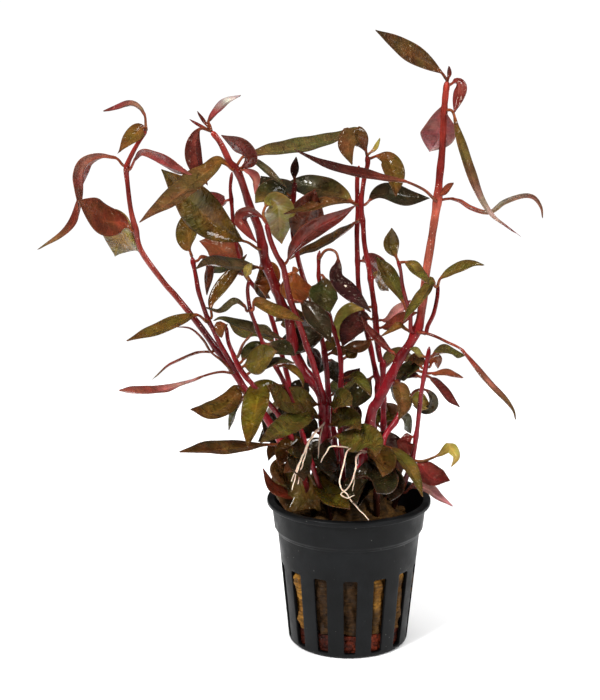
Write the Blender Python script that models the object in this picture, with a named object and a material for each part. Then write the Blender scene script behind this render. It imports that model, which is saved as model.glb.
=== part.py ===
"""A young Alternanthera reineckii in a slotted net pot, modelled at its real size.

The plant's points are given as (across, height) in millimetres on the upright middle plane of the pot, as
an eye at EYE sees them there. The function stand carries each one along its line of sight to its own depth,
where minus is nearer to the eye. A leaf's turn is the angle of its upper face: 90 faces the eye, 0 is edge
on, -90 shows the underside.
"""

import math
from collections import namedtuple

import bpy
import numpy as np

MM = 0.001
EYE = np.array((-16.4, -500.0, 214.0))
GAP = 0.3

# The pot, turned about Z, in millimetres.
RIM_HEIGHT = 50.0
LIP_RADIUS = 27.5
LIP_DEPTH = 1.8
LIP_ROUND = 0.5
COLLAR_TOP_RADIUS = 25.9
COLLAR_BOTTOM = 40.2
COLLAR_BOTTOM_RADIUS = 25.0
STEP_HEIGHT = 38.6
STEP_RADIUS = 23.9
FOOT_RADIUS = 20.1
FOOT_ROUND = 1.2
FOOT_CHAMFER = 0.36
SHARP_ANGLE = math.radians(40)
WALL = 1.1
FLOOR = 1.3
POT_SIDES = 42
SLOT_COUNT = 14
SLOT_BOTTOM = 1.6
SLOT_TOP = 28.2
SLOT_WIDTH_BOTTOM = 3.7
SLOT_WIDTH_TOP = 4.7
SLOT_CUT_INSIDE = 3.5
SLOT_CUT_OUTSIDE = 3.0
FLOOR_SLOT_COUNT = 7
FLOOR_SLOT_INNER = 7.0
FLOOR_SLOT_OUTER = 16.0
FLOOR_SLOT_WIDTH = 2.6

# What fills the pot, in millimetres.
CLAY_BOTTOM = 1.7
CLAY_TOP = 7.6
PLUG_BOTTOM = 8.0
PLUG_TOP = 45.0
PLUG_FLAT_RADIUS = 18.5
PLUG_SHOULDER = 42.0
FILL_CLEARANCE = 0.5
FILL_SIDES = 28

# How the stems, the leaves and the roots are built, in millimetres.
STEM_SIDES = 6
STEM_RING_SPACING = 10.0
ROOT_SIDES = 5
ROOT_RING_SPACING = 4.0
ROOT_THICKNESS = 0.6
ROOT_CLEARANCE = 0.7
ROOT_PLACE = 0.2
SHOOT_CLEARANCE = 1.05
STEM_TIP_PLACE = 0.985
STEM_STEP = 0.02
LEAF_RING_SPACING = 5.8
LEAF_CLEARANCE = 0.45
LEAF_FIRST_RING = 0.15
LEAF_TAPER_FROM = 0.3
ROOTED_SHARE = 0.15
LONG_PETIOLE = 8.0
LONGEST_PETIOLE_SHARE = 0.5
PETIOLE_DEPTH_SHARE = 0.35
PETIOLE_HALF_WIDTH = 0.45
PETIOLE_THICKNESS = 0.9
MIDRIB_THICKNESS = 0.7
FOLD_ANGLE = math.radians(13)
BELLY_SKEW = 0.92
BELLY_SHARPNESS = 1.15
INNER_EDGE = 0.8
LEAST_BEND = 1e-6
SAMPLES_PER_SPAN = 12

Finish = namedtuple("Finish", "colour roughness metallic", defaults=(0.0,))
Stem = namedtuple("Stem", "name parent foot thick depth points")
Leaf = namedtuple("Leaf", "name stem finish width petiole turn depth points")
Roots = namedtuple("Roots", "name stem strands")

FINISHES = {
    "pot_plastic": Finish((0.028, 0.033, 0.038), 0.45),
    "mineral_wool": Finish((0.32, 0.19, 0.05), 0.95),
    "clay_grains": Finish((0.17, 0.03, 0.012), 0.9),
    "stem_crimson": Finish((0.50, 0.08, 0.10), 0.35),
    "leaf_olive": Finish((0.26, 0.18, 0.06), 0.35),
    "leaf_green": Finish((0.28, 0.30, 0.08), 0.35),
    "leaf_dark": Finish((0.09, 0.09, 0.04), 0.35),
    "leaf_wine": Finish((0.28, 0.07, 0.08), 0.35),
    "leaf_khaki": Finish((0.46, 0.36, 0.13), 0.35),
    "root_cream": Finish((0.75, 0.62, 0.50), 0.5),
}

STEMS = (
    Stem("stem_far_left", None, (-10, -3), (2.6, 2.2, 1.8, 1.5, 1.2), (-5, -9, -14, -18),
         ((-14, 52), (-22, 68), (-30, 81), (-34, 86), (-38.5, 93.5), (-44, 101), (-50, 109.5),
          (-57, 118.5), (-60.8, 123), (-67.7, 133), (-69.5, 140), (-71, 147), (-71.8, 155), (-72, 160.3),
          (-70, 165), (-67, 170), (-65.3, 172.5))),
    Stem("shoot_far_left", "stem_far_left", None, (1.5, 1.3, 1.2), (-14, -16, -15),
         ((-38.5, 94), (-42.5, 102), (-45, 107.5), (-46.5, 110.5), (-48, 115), (-49.5, 120), (-50.3, 125),
          (-51.5, 131.5))),
    Stem("stem_left_back", None, (-12, 7), (1.8, 1.5, 1.1), (12, 16, 22),
         ((-18, 80), (-24, 105), (-28, 117), (-33.5, 124.5), (-36, 131), (-37.7, 140), (-38.5, 150),
          (-38.8, 154), (-38.2, 159))),
    Stem("stem_left_front", None, (-6, -12), (1.5, 1.3, 1.0), (-15, -16, -19),
         ((-14, 66), (-18, 80), (-21.5, 89), (-24, 94), (-26.5, 98.5), (-28, 101.5), (-30, 106),
          (-31, 109), (-32.7, 114), (-33.5, 120), (-33, 124))),
    Stem("stem_left_inner", None, (-11.5, -7), (1.9, 1.6, 1.1), (-16, -22, -20),
         ((-20, 72), (-31.2, 87.5), (-33.8, 90.7), (-36.5, 94.5), (-38.6, 99.5), (-40, 103.3),
          (-40.6, 108.5))),
    Stem("stem_middle", None, (-6, 0), (3.0, 3.0, 2.9, 2.7, 2.3, 1.5), (0, -3, -7, -14),
         ((-8.2, 74), (-8.3, 78.6), (-8.6, 83), (-10.6, 87.5), (-14.3, 92), (-16.6, 96.3), (-18.3, 100),
          (-19.2, 105), (-20.3, 111.4), (-22.5, 116), (-24, 120.7), (-26, 125.3), (-27.6, 129.6),
          (-28.5, 134.5), (-29.7, 140.6), (-31.5, 145.2), (-32.8, 148.5), (-34, 152.5), (-35.5, 157),
          (-37, 160), (-38.8, 161.8), (-40, 164.5), (-42, 168.5), (-44.7, 172))),
    Stem("shoot_middle", "stem_middle", None, (1.8, 1.7, 1.3), (-9, -12, -16),
         ((-9, 84), (-11.2, 92.7), (-12.6, 97.5), (-14.3, 102), (-15.7, 106.5), (-18, 113), (-19.8, 118),
          (-21, 124), (-22, 128.5), (-24, 132), (-26, 137), (-27.3, 142.5))),
    Stem("stem_back", None, (-3, 8), (1.8, 1.6, 1.3), (11, 11, 16),
         ((-5, 70), (-7, 85), (-7.5, 92), (-8.6, 101), (-9.8, 106), (-11.8, 114), (-13.3, 119),
          (-15.5, 125), (-17.3, 132), (-18.8, 140), (-18.5, 150), (-18, 156))),
    Stem("stem_centre", None, (-1, -5), (1.6, 1.4, 1.0), (-5, -3, 0),
         ((-3, 75), (-2.8, 92), (-3.3, 99.5), (-5, 106), (-7.3, 113.5), (-8.7, 118), (-10.2, 124),
          (-10.3, 131), (-10, 133.5))),
    Stem("stem_twin_left", None, (7, 8), (1.7, 1.6, 1.4), (11, 14, 19),
         ((9.2, 85.7), (8.7, 92), (7.8, 96.3), (6.8, 101.2), (4.5, 111), (2.7, 121.5), (2.3, 130),
          (2, 139), (2.3, 147), (2, 152.5), (2, 157), (2.5, 161))),
    Stem("stem_twin_right", None, (12, 3), (1.8, 1.6, 1.3), (4, 5, 7),
         ((11, 93), (10.3, 96.3), (9.3, 101), (8.3, 111), (7.8, 115.8), (6.9, 121.8), (6, 127.8),
          (4.5, 135.5), (4, 141.5), (3.3, 148.5), (3.7, 153), (4.4, 158), (5.3, 161.5), (5, 164.5))),
    Stem("stem_tall_right", None, (3, -7), (3.6, 3.4, 2.6, 2.4, 2.1, 1.4), (-11, -11, -12, -15),
         ((7, 76.7), (9.3, 82.7), (12.7, 89.5), (16.4, 97.4), (19.8, 102.6), (21.7, 106.7), (22.6, 108.7),
          (23.4, 113.9), (24.6, 125.8), (26, 135.7), (26.9, 142.4), (27.9, 150.2), (28.4, 157.5),
          (29.1, 166.4), (29.5, 179.5), (30.2, 188))),
    Stem("shoot_right_inner", "stem_tall_right", None, (1.2, 1.1, 1.0), (-16, -18),
         ((20.6, 107.3), (19.7, 112), (18.3, 117), (17, 122), (16.3, 127), (15.3, 130.5))),
    Stem("shoot_right_outer", "stem_tall_right", None, (1.3, 1.2, 1.0), (-12, -12),
         ((22.8, 106.8), (25.5, 108.5), (27.3, 112.5), (28.4, 118), (28.6, 122.5))),
    Stem("stem_far_right", None, (14, -4), (1.6, 1.4, 1.2), (-7, -11, -12),
         ((19, 56), (21.3, 63.5), (22.3, 71), (22.8, 75), (23.2, 80), (23.8, 86), (24.5, 91),
          (25.8, 98.5), (26.1, 101.5))),
    Stem("stem_low_right", None, (9, -11), (2.0, 1.8, 1.3), (-14, -9, -5),
         ((9.3, 57), (10.5, 66), (12.2, 71.5), (15.4, 76), (17.3, 80.5), (18.5, 85))),
)

LEAVES = (
    Leaf("leaf_far_left_drooping", "stem_far_left", "leaf_khaki", 8, 3, (-35, 15), -3,
         ((-72, 160.3), (-75.5, 163.5), (-81, 165), (-86, 163.3), (-88, 159.5), (-87.8, 155),
          (-88.5, 145), (-92, 140.5), (-101.4, 133.6))),
    Leaf("leaf_far_left_inner", "stem_far_left", "leaf_wine", 7.5, 3, (-30, -28), -38,
         ((-72, 160.3), (-68.6, 164), (-66, 165.3), (-61, 163.5), (-56, 161), (-51, 158))),
    Leaf("leaf_far_left_tip", "stem_far_left", "leaf_olive", 5, 2, (60, 60), -30,
         ((-65.3, 172.3), (-67.5, 173.3), (-70.5, 170), (-74.8, 164.8))),
    Leaf("leaf_far_left_red", "stem_far_left", "leaf_wine", 9, 3, (50, 50), -38,
         ((-69.9, 141.5), (-73, 144.5), (-79, 146), (-87.8, 150.3))),
    Leaf("leaf_far_left_green", "stem_far_left", "leaf_green", 9, 3, (60, 60), 11,
         ((-69, 138), (-72, 138.6), (-75.5, 136), (-78, 131))),
    Leaf("leaf_middle_top_right", "stem_middle", "leaf_wine", 5, 3, (30, 30), -3,
         ((-44.7, 171.8), (-45.5, 175.5), (-43, 179), (-40, 181.8), (-35, 183.4))),
    Leaf("leaf_middle_top_hanging", "stem_middle", "leaf_wine", 7, 3, (-50, -50), -13,
         ((-44.7, 171.8), (-48.5, 172.6), (-50.8, 168), (-50, 161), (-46, 154.5))),
    Leaf("leaf_middle_top_red", "stem_middle", "leaf_wine", 7, 2, (-50, -50), -30,
         ((-36.2, 159.5), (-32.5, 163.5), (-35.5, 168), (-41.7, 170.8))),
    Leaf("leaf_middle_long_left", "stem_middle", "leaf_olive", 9, 3, (50, 45), -46,
         ((-37.6, 160.6), (-42, 162.9), (-46, 160.3), (-52, 156), (-58, 150.8), (-63, 147),
          (-68.5, 142.6))),
    Leaf("leaf_middle_long_right", "stem_middle", "leaf_olive", 9, 4, (22, 25), 30,
         ((-37, 160), (-34, 165), (-30, 166.3), (-25, 167.8), (-15, 169.6), (-5, 171.8), (1, 173.5),
          (3.3, 172.5))),
    Leaf("leaf_broad_brown", "stem_middle", "leaf_olive", 13, 8, (80, 75), -24,
         ((-28.7, 134.3), (-33, 136), (-36.5, 137.5), (-45, 143.5), (-53, 152), (-61, 160))),
    Leaf("leaf_shoot_far_left_top", "shoot_far_left", "leaf_olive", 8, 2, (60, 60), 0,
         ((-51.5, 131.5), (-54, 136), (-54.5, 142), (-52, 148))),
    Leaf("leaf_middle_level_left", "stem_middle", "leaf_dark", 9, 4, (25, 30), -35,
         ((-27.6, 128.4), (-34, 129.3), (-40, 130), (-46, 130), (-50.5, 127.5))),
    Leaf("leaf_shoot_far_left_inner", "shoot_far_left", "leaf_olive", 8, 3, (60, 60), -8,
         ((-46.6, 111), (-45.5, 116.5), (-42, 122), (-38, 127), (-33.5, 132.5))),
    Leaf("leaf_shoot_far_left_outer", "shoot_far_left", "leaf_olive", 8, 5, (30, 35), -38,
         ((-46.5, 110.5), (-49.5, 112), (-52.6, 112.2), (-57, 110.8), (-62, 108.5), (-68, 105.8),
          (-73.6, 103.5))),
    Leaf("leaf_left_front_right", "stem_left_front", "leaf_olive", 7, 3, (40, 35), -38,
         ((-32.7, 114), (-31.2, 117), (-27, 115.5), (-21, 112.5), (-15, 110))),
    Leaf("leaf_middle_low_left", "stem_middle", "leaf_dark", 8, 3, (25, 25), -5,
         ((-19, 103.8), (-24, 105.3), (-30, 107.8), (-36, 109.8), (-42, 111.3), (-45, 110.2))),
    Leaf("leaf_left_low_long", "stem_far_left", "leaf_wine", 8, 4, (25, 20), -46,
         ((-38.5, 93.5), (-42, 93), (-46, 92.3), (-52, 90.3), (-57, 89), (-62, 87.8), (-66, 87.6),
          (-76.5, 86.8))),
    Leaf("leaf_left_edge_on", "stem_far_left", "leaf_olive", 6, 3, (8, 8), -22,
         ((-44, 101), (-48, 99.8), (-52, 99.2), (-57, 97), (-60.5, 95), (-65.3, 90.3))),
    Leaf("leaf_left_low_broad", "stem_far_left", "leaf_olive", 9, 3, (55, 50), -30,
         ((-34, 86), (-36.5, 88.4), (-38.5, 86.8), (-42, 83), (-47, 80.5), (-52.8, 80))),
    Leaf("leaf_left_bright_green", "stem_left_front", "leaf_green", 8, 3, (60, 60), -43,
         ((-21.5, 89), (-26, 89), (-30, 87), (-32, 80), (-33, 73), (-34, 66.9))),
    Leaf("leaf_middle_low_glossy", "stem_middle", "leaf_olive", 8, 3, (60, 60), -35,
         ((-8.6, 82.5), (-15, 84), (-21, 84), (-27.3, 88.5))),
    Leaf("leaf_middle_lowest", "stem_middle", "leaf_olive", 8, 3, (60, 60), -56,
         ((-8.3, 77.3), (-13, 79.5), (-18, 77), (-23, 73.5), (-30, 68.5))),
    Leaf("leaf_left_lowest", "stem_far_left", "leaf_olive", 9, 3, (35, 30), -30,
         ((-22.5, 69), (-31, 68.2), (-38, 68), (-46, 67.5), (-52, 66.5), (-57, 65.5))),
    Leaf("leaf_left_inner_green", "stem_left_inner", "leaf_green", 8, 2, (60, 60), -32,
         ((-36.5, 94.5), (-33, 97.5), (-28, 99.5), (-23, 100.5))),
    Leaf("leaf_shoot_middle_khaki", "shoot_middle", "leaf_khaki", 9, 10, (70, 70), 22,
         ((-27.3, 142.3), (-28.3, 145.5), (-27, 148.7), (-25, 149.7), (-23, 146), (-22.8, 140),
          (-22.3, 135.5))),
    Leaf("leaf_shoot_middle_red", "shoot_middle", "leaf_wine", 8, 3, (-60, -55), -40,
         ((-22.2, 129), (-18, 135), (-12, 140.8), (-4, 145), (2, 148.5))),
    Leaf("leaf_middle_hanging", "stem_middle", "leaf_wine", 8, 2, (60, 60), 14,
         ((-27.4, 129), (-28, 125), (-28.5, 120.5), (-26, 117.5))),
    Leaf("leaf_back_left", "stem_back", "leaf_dark", 8, 2, (50, 50), 35,
         ((-18.5, 150.5), (-23, 153.5), (-29, 157.7))),
    Leaf("leaf_shoot_middle_dark", "shoot_middle", "leaf_dark", 7, 3, (60, 60), -24,
         ((-19, 116), (-13, 114), (-9.5, 108.5), (-6.5, 104.2))),
    Leaf("leaf_centre_loop", "stem_centre", "leaf_dark", 8, 11, (60, 60), -22,
         ((-10.3, 131), (-8.5, 133.2), (-6.5, 133.8), (-4.5, 132.5), (-3.9, 129), (-4.4, 126), (-3, 123),
          (2, 118), (7, 113))),
    Leaf("leaf_twin_left_brown", "stem_twin_right", "leaf_olive", 9, 3, (65, 65), 0,
         ((3.3, 148), (-4, 150), (-9, 150.5), (-13, 147.5), (-16, 144))),
    Leaf("leaf_twin_right_top", "stem_twin_right", "leaf_green", 8, 3, (60, 60), -5,
         ((5.2, 163.5), (9, 165.3), (13, 165), (15.5, 160), (15.7, 152))),
    Leaf("leaf_tall_top", "stem_tall_right", "leaf_olive", 8.5, 3, (60, 60), -35,
         ((30.2, 187.8), (28.2, 190.5), (24, 193.8), (18, 197.3), (12, 200.8), (7.2, 203.7))),
    Leaf("leaf_tall_hanging_red", "stem_tall_right", "leaf_wine", 10, 2, (-80, -80), 0,
         ((29.6, 183), (29.6, 181), (28.3, 177), (27.5, 171), (25, 165.5))),
    Leaf("leaf_tall_long_right", "stem_tall_right", "leaf_olive", 9, 4, (28, 25), -43,
         ((29.4, 178.5), (32, 178.3), (33.5, 174), (36.5, 165), (38.5, 159.5), (40.5, 154), (43, 149),
          (46, 144.8), (50, 141.8), (55.2, 138))),
    Leaf("leaf_tall_wavy_right", "stem_tall_right", "leaf_olive", 7, 3, (25, -30), -19,
         ((27.9, 149.8), (31, 150.3), (35, 150.1), (39, 148), (44.5, 147), (49, 150), (55, 151.8),
          (59, 151), (61.5, 147.5), (62, 143.8))),
    Leaf("leaf_tall_long_left", "stem_tall_right", "leaf_wine", 9, 3, (30, 30), -40,
         ((27.9, 150.2), (23.5, 154), (17, 157.5), (10, 158.7), (3, 160), (-5, 161.5), (-12, 163.5),
          (-18, 166))),
    Leaf("leaf_tall_low_right", "stem_tall_right", "leaf_olive", 7, 15, (20, 22), -32,
         ((21.9, 107), (25, 106), (28, 105), (31.5, 103.3), (37.5, 100), (44.5, 92), (50, 86), (53, 82.5),
          (54.8, 79.5), (55.4, 76.4))),
)

SMALL_LEAVES = (
    Leaf("", "stem_far_left", "leaf_olive", 4, 2, (28, 25), -3,
         ((-65.3, 172.3), (-65.8, 177), (-67.3, 179.7), (-71, 181), (-79.2, 178.3))),
    Leaf("", "stem_middle", "leaf_olive", 4, 2, (35, 35), -3,
         ((-36.5, 159.5), (-31, 162.5), (-27, 160), (-20.5, 154))),
    Leaf("", "stem_middle", "leaf_wine", 4, 2, (-40, -40), -20,
         ((-36, 158), (-33, 157.5), (-31.2, 155), (-32.3, 150.5))),
    Leaf("", "stem_middle", "leaf_olive", 2, 1, (60, 60), -16,
         ((-44.7, 171.8), (-47.5, 176), (-49.2, 178.5))),
    Leaf("", "shoot_middle", "leaf_wine", 5, 2, (-50, -50), -24,
         ((-27.3, 142.5), (-29.5, 145), (-33.5, 146), (-36, 143.5), (-33.5, 139.5), (-30.3, 135.8))),
    Leaf("", "shoot_far_left", "leaf_wine", 5, 2, (35, 35), -8,
         ((-51, 130), (-48, 131.5), (-45.5, 128), (-46.8, 118.5))),
    Leaf("", "stem_left_front", "leaf_olive", 4, 2, (28, 28), -32,
         ((-32.7, 113.8), (-34.5, 115.2), (-37, 117.2), (-39.5, 116.2), (-42.5, 113.8), (-47.5, 114.8))),
    Leaf("", "stem_left_front", "leaf_olive", 3, 1, (60, 60), -24,
         ((-33, 124), (-34, 125.8), (-32, 129.5))),
    Leaf("", "stem_left_inner", "leaf_olive", 4, 1, (40, 40), -27,
         ((-40.6, 108.5), (-42.3, 109.3), (-42.3, 104.5))),
    Leaf("", "stem_far_left", "leaf_green", 5, 2, (28, 28), 0,
         ((-33.5, 85.5), (-37.5, 82), (-39.5, 78), (-40.2, 72.8))),
    Leaf("", "stem_left_inner", "leaf_dark", 6, 2, (25, 25), -35,
         ((-34.5, 91.5), (-30, 94.5), (-24, 97), (-18, 96))),
    Leaf("", "stem_left_front", "leaf_dark", 6, 1, (60, 60), -27,
         ((-28, 102), (-22.5, 101.5), (-18, 98.5))),
    Leaf("", "stem_left_front", "leaf_olive", 4, 2, (30, 30), -24,
         ((-24.2, 94.5), (-19.5, 95), (-16, 91.5), (-15.2, 87.5))),
    Leaf("", "stem_left_back", "leaf_dark", 7, 2, (60, 60), 3,
         ((-15.5, 66), (-20, 73), (-25.5, 78), (-28, 69))),
    Leaf("", "stem_far_left", "leaf_wine", 5, 2, (45, 45), -19,
         ((-13, 51), (-20, 51), (-26, 54), (-28.8, 59.9))),
    Leaf("", "stem_far_left", "leaf_olive", 5, 1, (50, 50), -16,
         ((-17, 58), (-21, 57.8), (-23.5, 61), (-21.5, 64.3))),
    Leaf("", "stem_left_inner", "leaf_green", 4, 1, (45, 45), -30,
         ((-14.5, 63), (-17.5, 64.8), (-21, 66))),
    Leaf("", "stem_left_inner", "leaf_olive", 8, 1, (65, 65), -28,
         ((-13.2, 51), (-14.5, 55.5), (-17.5, 51.5), (-15.5, 43.5))),
    Leaf("", "stem_middle", "leaf_green", 5, 2, (55, 55), -26,
         ((-7.2, 60), (-8.5, 56), (-4.5, 49.5), (0.5, 45.5))),
    Leaf("", "stem_middle", "leaf_green", 8, 8, (65, 70), -40,
         ((-7.8, 70.5), (-4, 71), (0, 70.6), (4, 70.5), (8, 68.5), (9, 63.8))),
    Leaf("", "stem_middle", "leaf_green", 7, 2, (55, 55), -22,
         ((-8.5, 81.8), (-3.5, 83.5), (0.8, 81.5))),
    Leaf("", "stem_back", "leaf_dark", 3, 1, (60, 60), 16,
         ((-18, 155.5), (-18.3, 159), (-17.6, 164))),
    Leaf("", "stem_back", "leaf_dark", 6, 2, (45, 45), 5,
         ((-18.5, 150), (-25, 151.3), (-31, 149))),
    Leaf("", "shoot_middle", "leaf_khaki", 8, 1, (60, 60), 3,
         ((-21.6, 127), (-18, 124), (-12.2, 120.5))),
    Leaf("", "stem_centre", "leaf_dark", 8, 2, (75, 75), -12,
         ((-10.2, 125), (-8.2, 122), (-8.5, 118), (-6.5, 112.8))),
    Leaf("", "stem_centre", "leaf_olive", 5, 2, (45, 45), -16,
         ((-2.8, 90.5), (1.5, 92), (4.5, 89.5), (7.2, 84.7))),
    Leaf("", "stem_twin_left", "leaf_olive", 7, 2, (38, 38), 32,
         ((2, 151), (-4, 155), (-10, 157), (-17, 158.3))),
    Leaf("", "stem_twin_right", "leaf_olive", 7, 3, (25, 25), 30,
         ((3.8, 143), (-4, 139.5), (-10, 136.3), (-16, 133.5), (-20, 130.5))),
    Leaf("", "stem_twin_right", "leaf_green", 6, 1, (60, 60), -5,
         ((5, 164.3), (3.8, 169), (1, 171), (-1.5, 168), (0.3, 161))),
    Leaf("", "stem_twin_right", "leaf_green", 1.8, 1, (60, 60), 5,
         ((5, 164.3), (7.5, 166.5), (9.2, 170))),
    Leaf("", "stem_twin_right", "leaf_green", 7, 3, (48, 48), 19,
         ((3.3, 148.5), (8, 151.8), (12, 152.8), (18, 151.5), (25.5, 150.5))),
    Leaf("", "stem_twin_right", "leaf_olive", 9, 2, (75, 75), -11,
         ((8.1, 113), (2, 110), (-1, 105), (-2.7, 100.8))),
    Leaf("", "stem_twin_right", "leaf_olive", 4, 2, (45, 45), -3,
         ((8.4, 109.5), (12, 109.5), (17.7, 112))),
    Leaf("", "stem_tall_right", "leaf_wine", 5, 2, (-55, -55), -22,
         ((30.1, 185.8), (33.3, 187.8), (34.7, 186), (34, 182), (32.6, 177.5))),
    Leaf("", "stem_tall_right", "leaf_olive", 1.6, 1, (60, 60), -16,
         ((30.2, 187.5), (30.8, 190), (30.6, 192.6))),
    Leaf("", "stem_tall_right", "leaf_wine", 3, 1, (50, 50), -19,
         ((28, 150.8), (30, 153), (33, 155.6))),
    Leaf("", "stem_tall_right", "leaf_olive", 3.5, 2, (30, 30), -16,
         ((21.3, 106), (16.5, 109), (13, 107), (10, 105))),
    Leaf("", "stem_tall_right", "leaf_wine", 5, 2, (30, 30), -15,
         ((16.6, 97.8), (11, 103), (6, 108), (3.5, 112))),
    Leaf("", "shoot_right_inner", "leaf_dark", 6, 2, (55, 55), -18,
         ((15.6, 129.5), (13.6, 135), (13.3, 141))),
    Leaf("", "shoot_right_inner", "leaf_green", 7, 3, (55, 55), -3,
         ((19.7, 112), (17, 115.5), (15, 120), (11.5, 126), (7.3, 132))),
    Leaf("", "shoot_right_inner", "leaf_olive", 6, 2, (35, 35), -30,
         ((15.7, 129.3), (20, 129.5), (22.5, 126.5), (25.8, 122.3))),
    Leaf("", "shoot_right_outer", "leaf_olive", 6, 2, (35, 35), -30,
         ((28.6, 121.8), (27, 124), (25.6, 122.8), (21, 116), (17.3, 109.8))),
    Leaf("", "shoot_right_outer", "leaf_olive", 6, 2, (32, 32), -19,
         ((28.6, 122), (29.5, 124.5), (31.5, 127), (35, 129.2), (40, 130), (44, 128.9))),
    Leaf("", "stem_far_right", "leaf_green", 6, 3, (30, 30), 3,
         ((25.7, 98), (28.5, 99.8), (32, 100.8), (35, 99.8), (38.2, 98.5))),
    Leaf("", "stem_far_right", "leaf_green", 3, 1, (50, 50), -14,
         ((25.7, 98), (22, 100.3), (19.5, 101))),
    Leaf("", "stem_far_right", "leaf_wine", 5, 2, (25, 25), -22,
         ((24.8, 93), (31, 93.3), (34, 92.5), (37.7, 91))),
    Leaf("", "stem_far_right", "leaf_wine", 6, 2, (30, 30), -5,
         ((24.5, 91.5), (29, 89.5), (32, 86.5), (35, 83), (36.8, 80.8))),
    Leaf("", "stem_far_right", "leaf_wine", 5, 2, (40, 40), 3,
         ((24.5, 91), (22.5, 92.8), (19.5, 94.3), (17, 92.5), (13.5, 87))),
    Leaf("", "stem_low_right", "leaf_khaki", 5, 9, (60, 60), 3,
         ((18, 83.5), (22, 86.6), (26, 86.5), (29.5, 83), (29.5, 80), (25, 79), (20.8, 81.5))),
    Leaf("", "stem_tall_right", "leaf_olive", 5, 2, (50, 50), -27,
         ((13.8, 91.5), (18.5, 89), (18.7, 83), (17, 77))),
    Leaf("", "stem_far_right", "leaf_wine", 7, 2, (50, 50), -16,
         ((20.8, 61.5), (24.5, 61), (29, 57), (34, 55.5))),
    Leaf("", "stem_far_right", "leaf_wine", 5, 3, (40, 40), -14,
         ((17.5, 52), (22, 54.2), (27, 53), (30.5, 50), (35.3, 46.3))),
    Leaf("", "stem_low_right", "leaf_green", 6, 2, (45, 45), -28,
         ((10.8, 67.5), (16.3, 65.6), (20.5, 61), (22.8, 56), (25, 49.6))),
    Leaf("", "stem_far_right", "leaf_wine", 5, 1, (55, 55), -9,
         ((22.3, 71), (19, 70), (18.8, 67), (20.8, 64))),
    Leaf("", "stem_far_right", "leaf_khaki", 4, 8, (50, 50), -12,
         ((21.2, 63), (25.5, 62.5), (30, 64.5), (33.5, 67.3), (36, 64), (34.2, 60))),
    Leaf("", "stem_tall_right", "leaf_dark", 7, 2, (60, 60), -36,
         ((4.5, 60.5), (7.5, 60.5), (10.5, 56), (9.5, 51))),
    Leaf("", "stem_left_back", "leaf_olive", 8, 2, (40, 40), 42,
         ((-34, 126), (-38, 128), (-43, 129), (-47, 128))),
    Leaf("", "stem_left_back", "leaf_wine", 9, 3, (50, 50), 46,
         ((-38.4, 150), (-43, 149), (-49, 151), (-54, 153))),
    Leaf("", "stem_left_back", "leaf_olive", 8, 2, (50, 50), 38,
         ((-17.5, 78), (-21, 80), (-25, 79), (-29, 74))),
    Leaf("", "stem_left_back", "leaf_olive", 8, 2, (40, 40), 42,
         ((-24, 104), (-29, 106.5), (-35, 108), (-40, 110))),
    Leaf("", "stem_twin_left", "leaf_olive", 9, 2, (60, 60), 42,
         ((4.9, 109), (1, 110), (-2, 107), (-4, 103))),
    Leaf("", "stem_twin_left", "leaf_wine", 8, 2, (50, 50), 44,
         ((2.3, 130), (6, 130), (10, 127), (13, 121))),
    Leaf("", "stem_twin_left", "leaf_olive", 8, 2, (50, 50), 38,
         ((9, 88), (13, 88), (16, 84), (18, 79))),
    Leaf("", "stem_twin_right", "leaf_olive", 8, 2, (50, 50), 30,
         ((6.5, 124), (10, 124), (14, 120), (17, 115))),
    Leaf("", "stem_twin_right", "leaf_dark", 7, 2, (45, 45), 32,
         ((10.5, 95), (14, 98), (18, 99), (22, 97))),
    Leaf("", "stem_back", "leaf_green", 8, 2, (50, 50), 36,
         ((-7, 85), (-3, 88), (1, 90), (5, 90))),
    Leaf("", "stem_back", "leaf_olive", 8, 2, (50, 50), 34,
         ((-5, 71), (-1, 73), (4, 72), (9, 68))),
)

ROOTS = (
    Roots("roots_left", "stem_middle", (
        (-12, ((-8.1, 76), (-9.6, 71), (-10.3, 63.2))),
        (-34, ((-8.1, 76), (-12.3, 66.8), (-14.4, 63.8), (-16, 60.5), (-17.6, 56.3), (-19.2, 52))),
    )),
    Roots("roots_right", "stem_tall_right", (
        (-27, ((4.6, 67), (-0.8, 63.8), (-1.6, 58.5), (-2.1, 53.7), (0.8, 50.5), (4.2, 45.7))),
        (-23, ((4.6, 67), (-4.8, 66.8), (-7.5, 64.3), (-9.5, 61))),
        (-19, ((4.6, 67), (2.9, 61.5), (1.9, 56.2), (1.5, 51.8))),
    )),
)


def clear_scene():
    """Start from an empty scene."""
    for thing in list(bpy.data.objects):
        bpy.data.objects.remove(thing, do_unlink=True)


def unit(vectors):
    """The vectors, each at length one."""
    return vectors / np.linalg.norm(vectors, axis=-1, keepdims=True)


def without(vectors, directions):
    """What is left of the vectors across the directions."""
    return vectors - np.sum(vectors * directions, axis=-1, keepdims=True) * directions


def stand(across, depth, height):
    """The point at a depth that the eye sees at (across, height) on the middle plane."""
    seen = np.array((across, 0.0, height))
    return EYE + (seen - EYE) * (1 - depth / EYE[1])


def lengths_along(line):
    """The distance of each point of a line from its start, along the line."""
    return np.concatenate(((0,), np.cumsum(np.linalg.norm(np.diff(line, axis=0), axis=1))))


def smooth(points):
    """A Catmull-Rom curve through the points, as many closely spaced ones."""
    points = np.asarray(points, float)
    ends = np.vstack((2 * points[0] - points[1], points, 2 * points[-1] - points[-2]))
    step = np.linspace(0, 1, SAMPLES_PER_SPAN, endpoint=False)[:, None]
    spans = []
    for a, b, c, d in zip(ends, ends[1:], ends[2:], ends[3:]):
        bend = (2 * a - 5 * b + 4 * c - d) * step ** 2 + (3 * b - a - 3 * c + d) * step ** 3
        spans.append(b + 0.5 * ((c - a) * step + bend))
    return np.vstack(spans + [points[-1:]])


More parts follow.
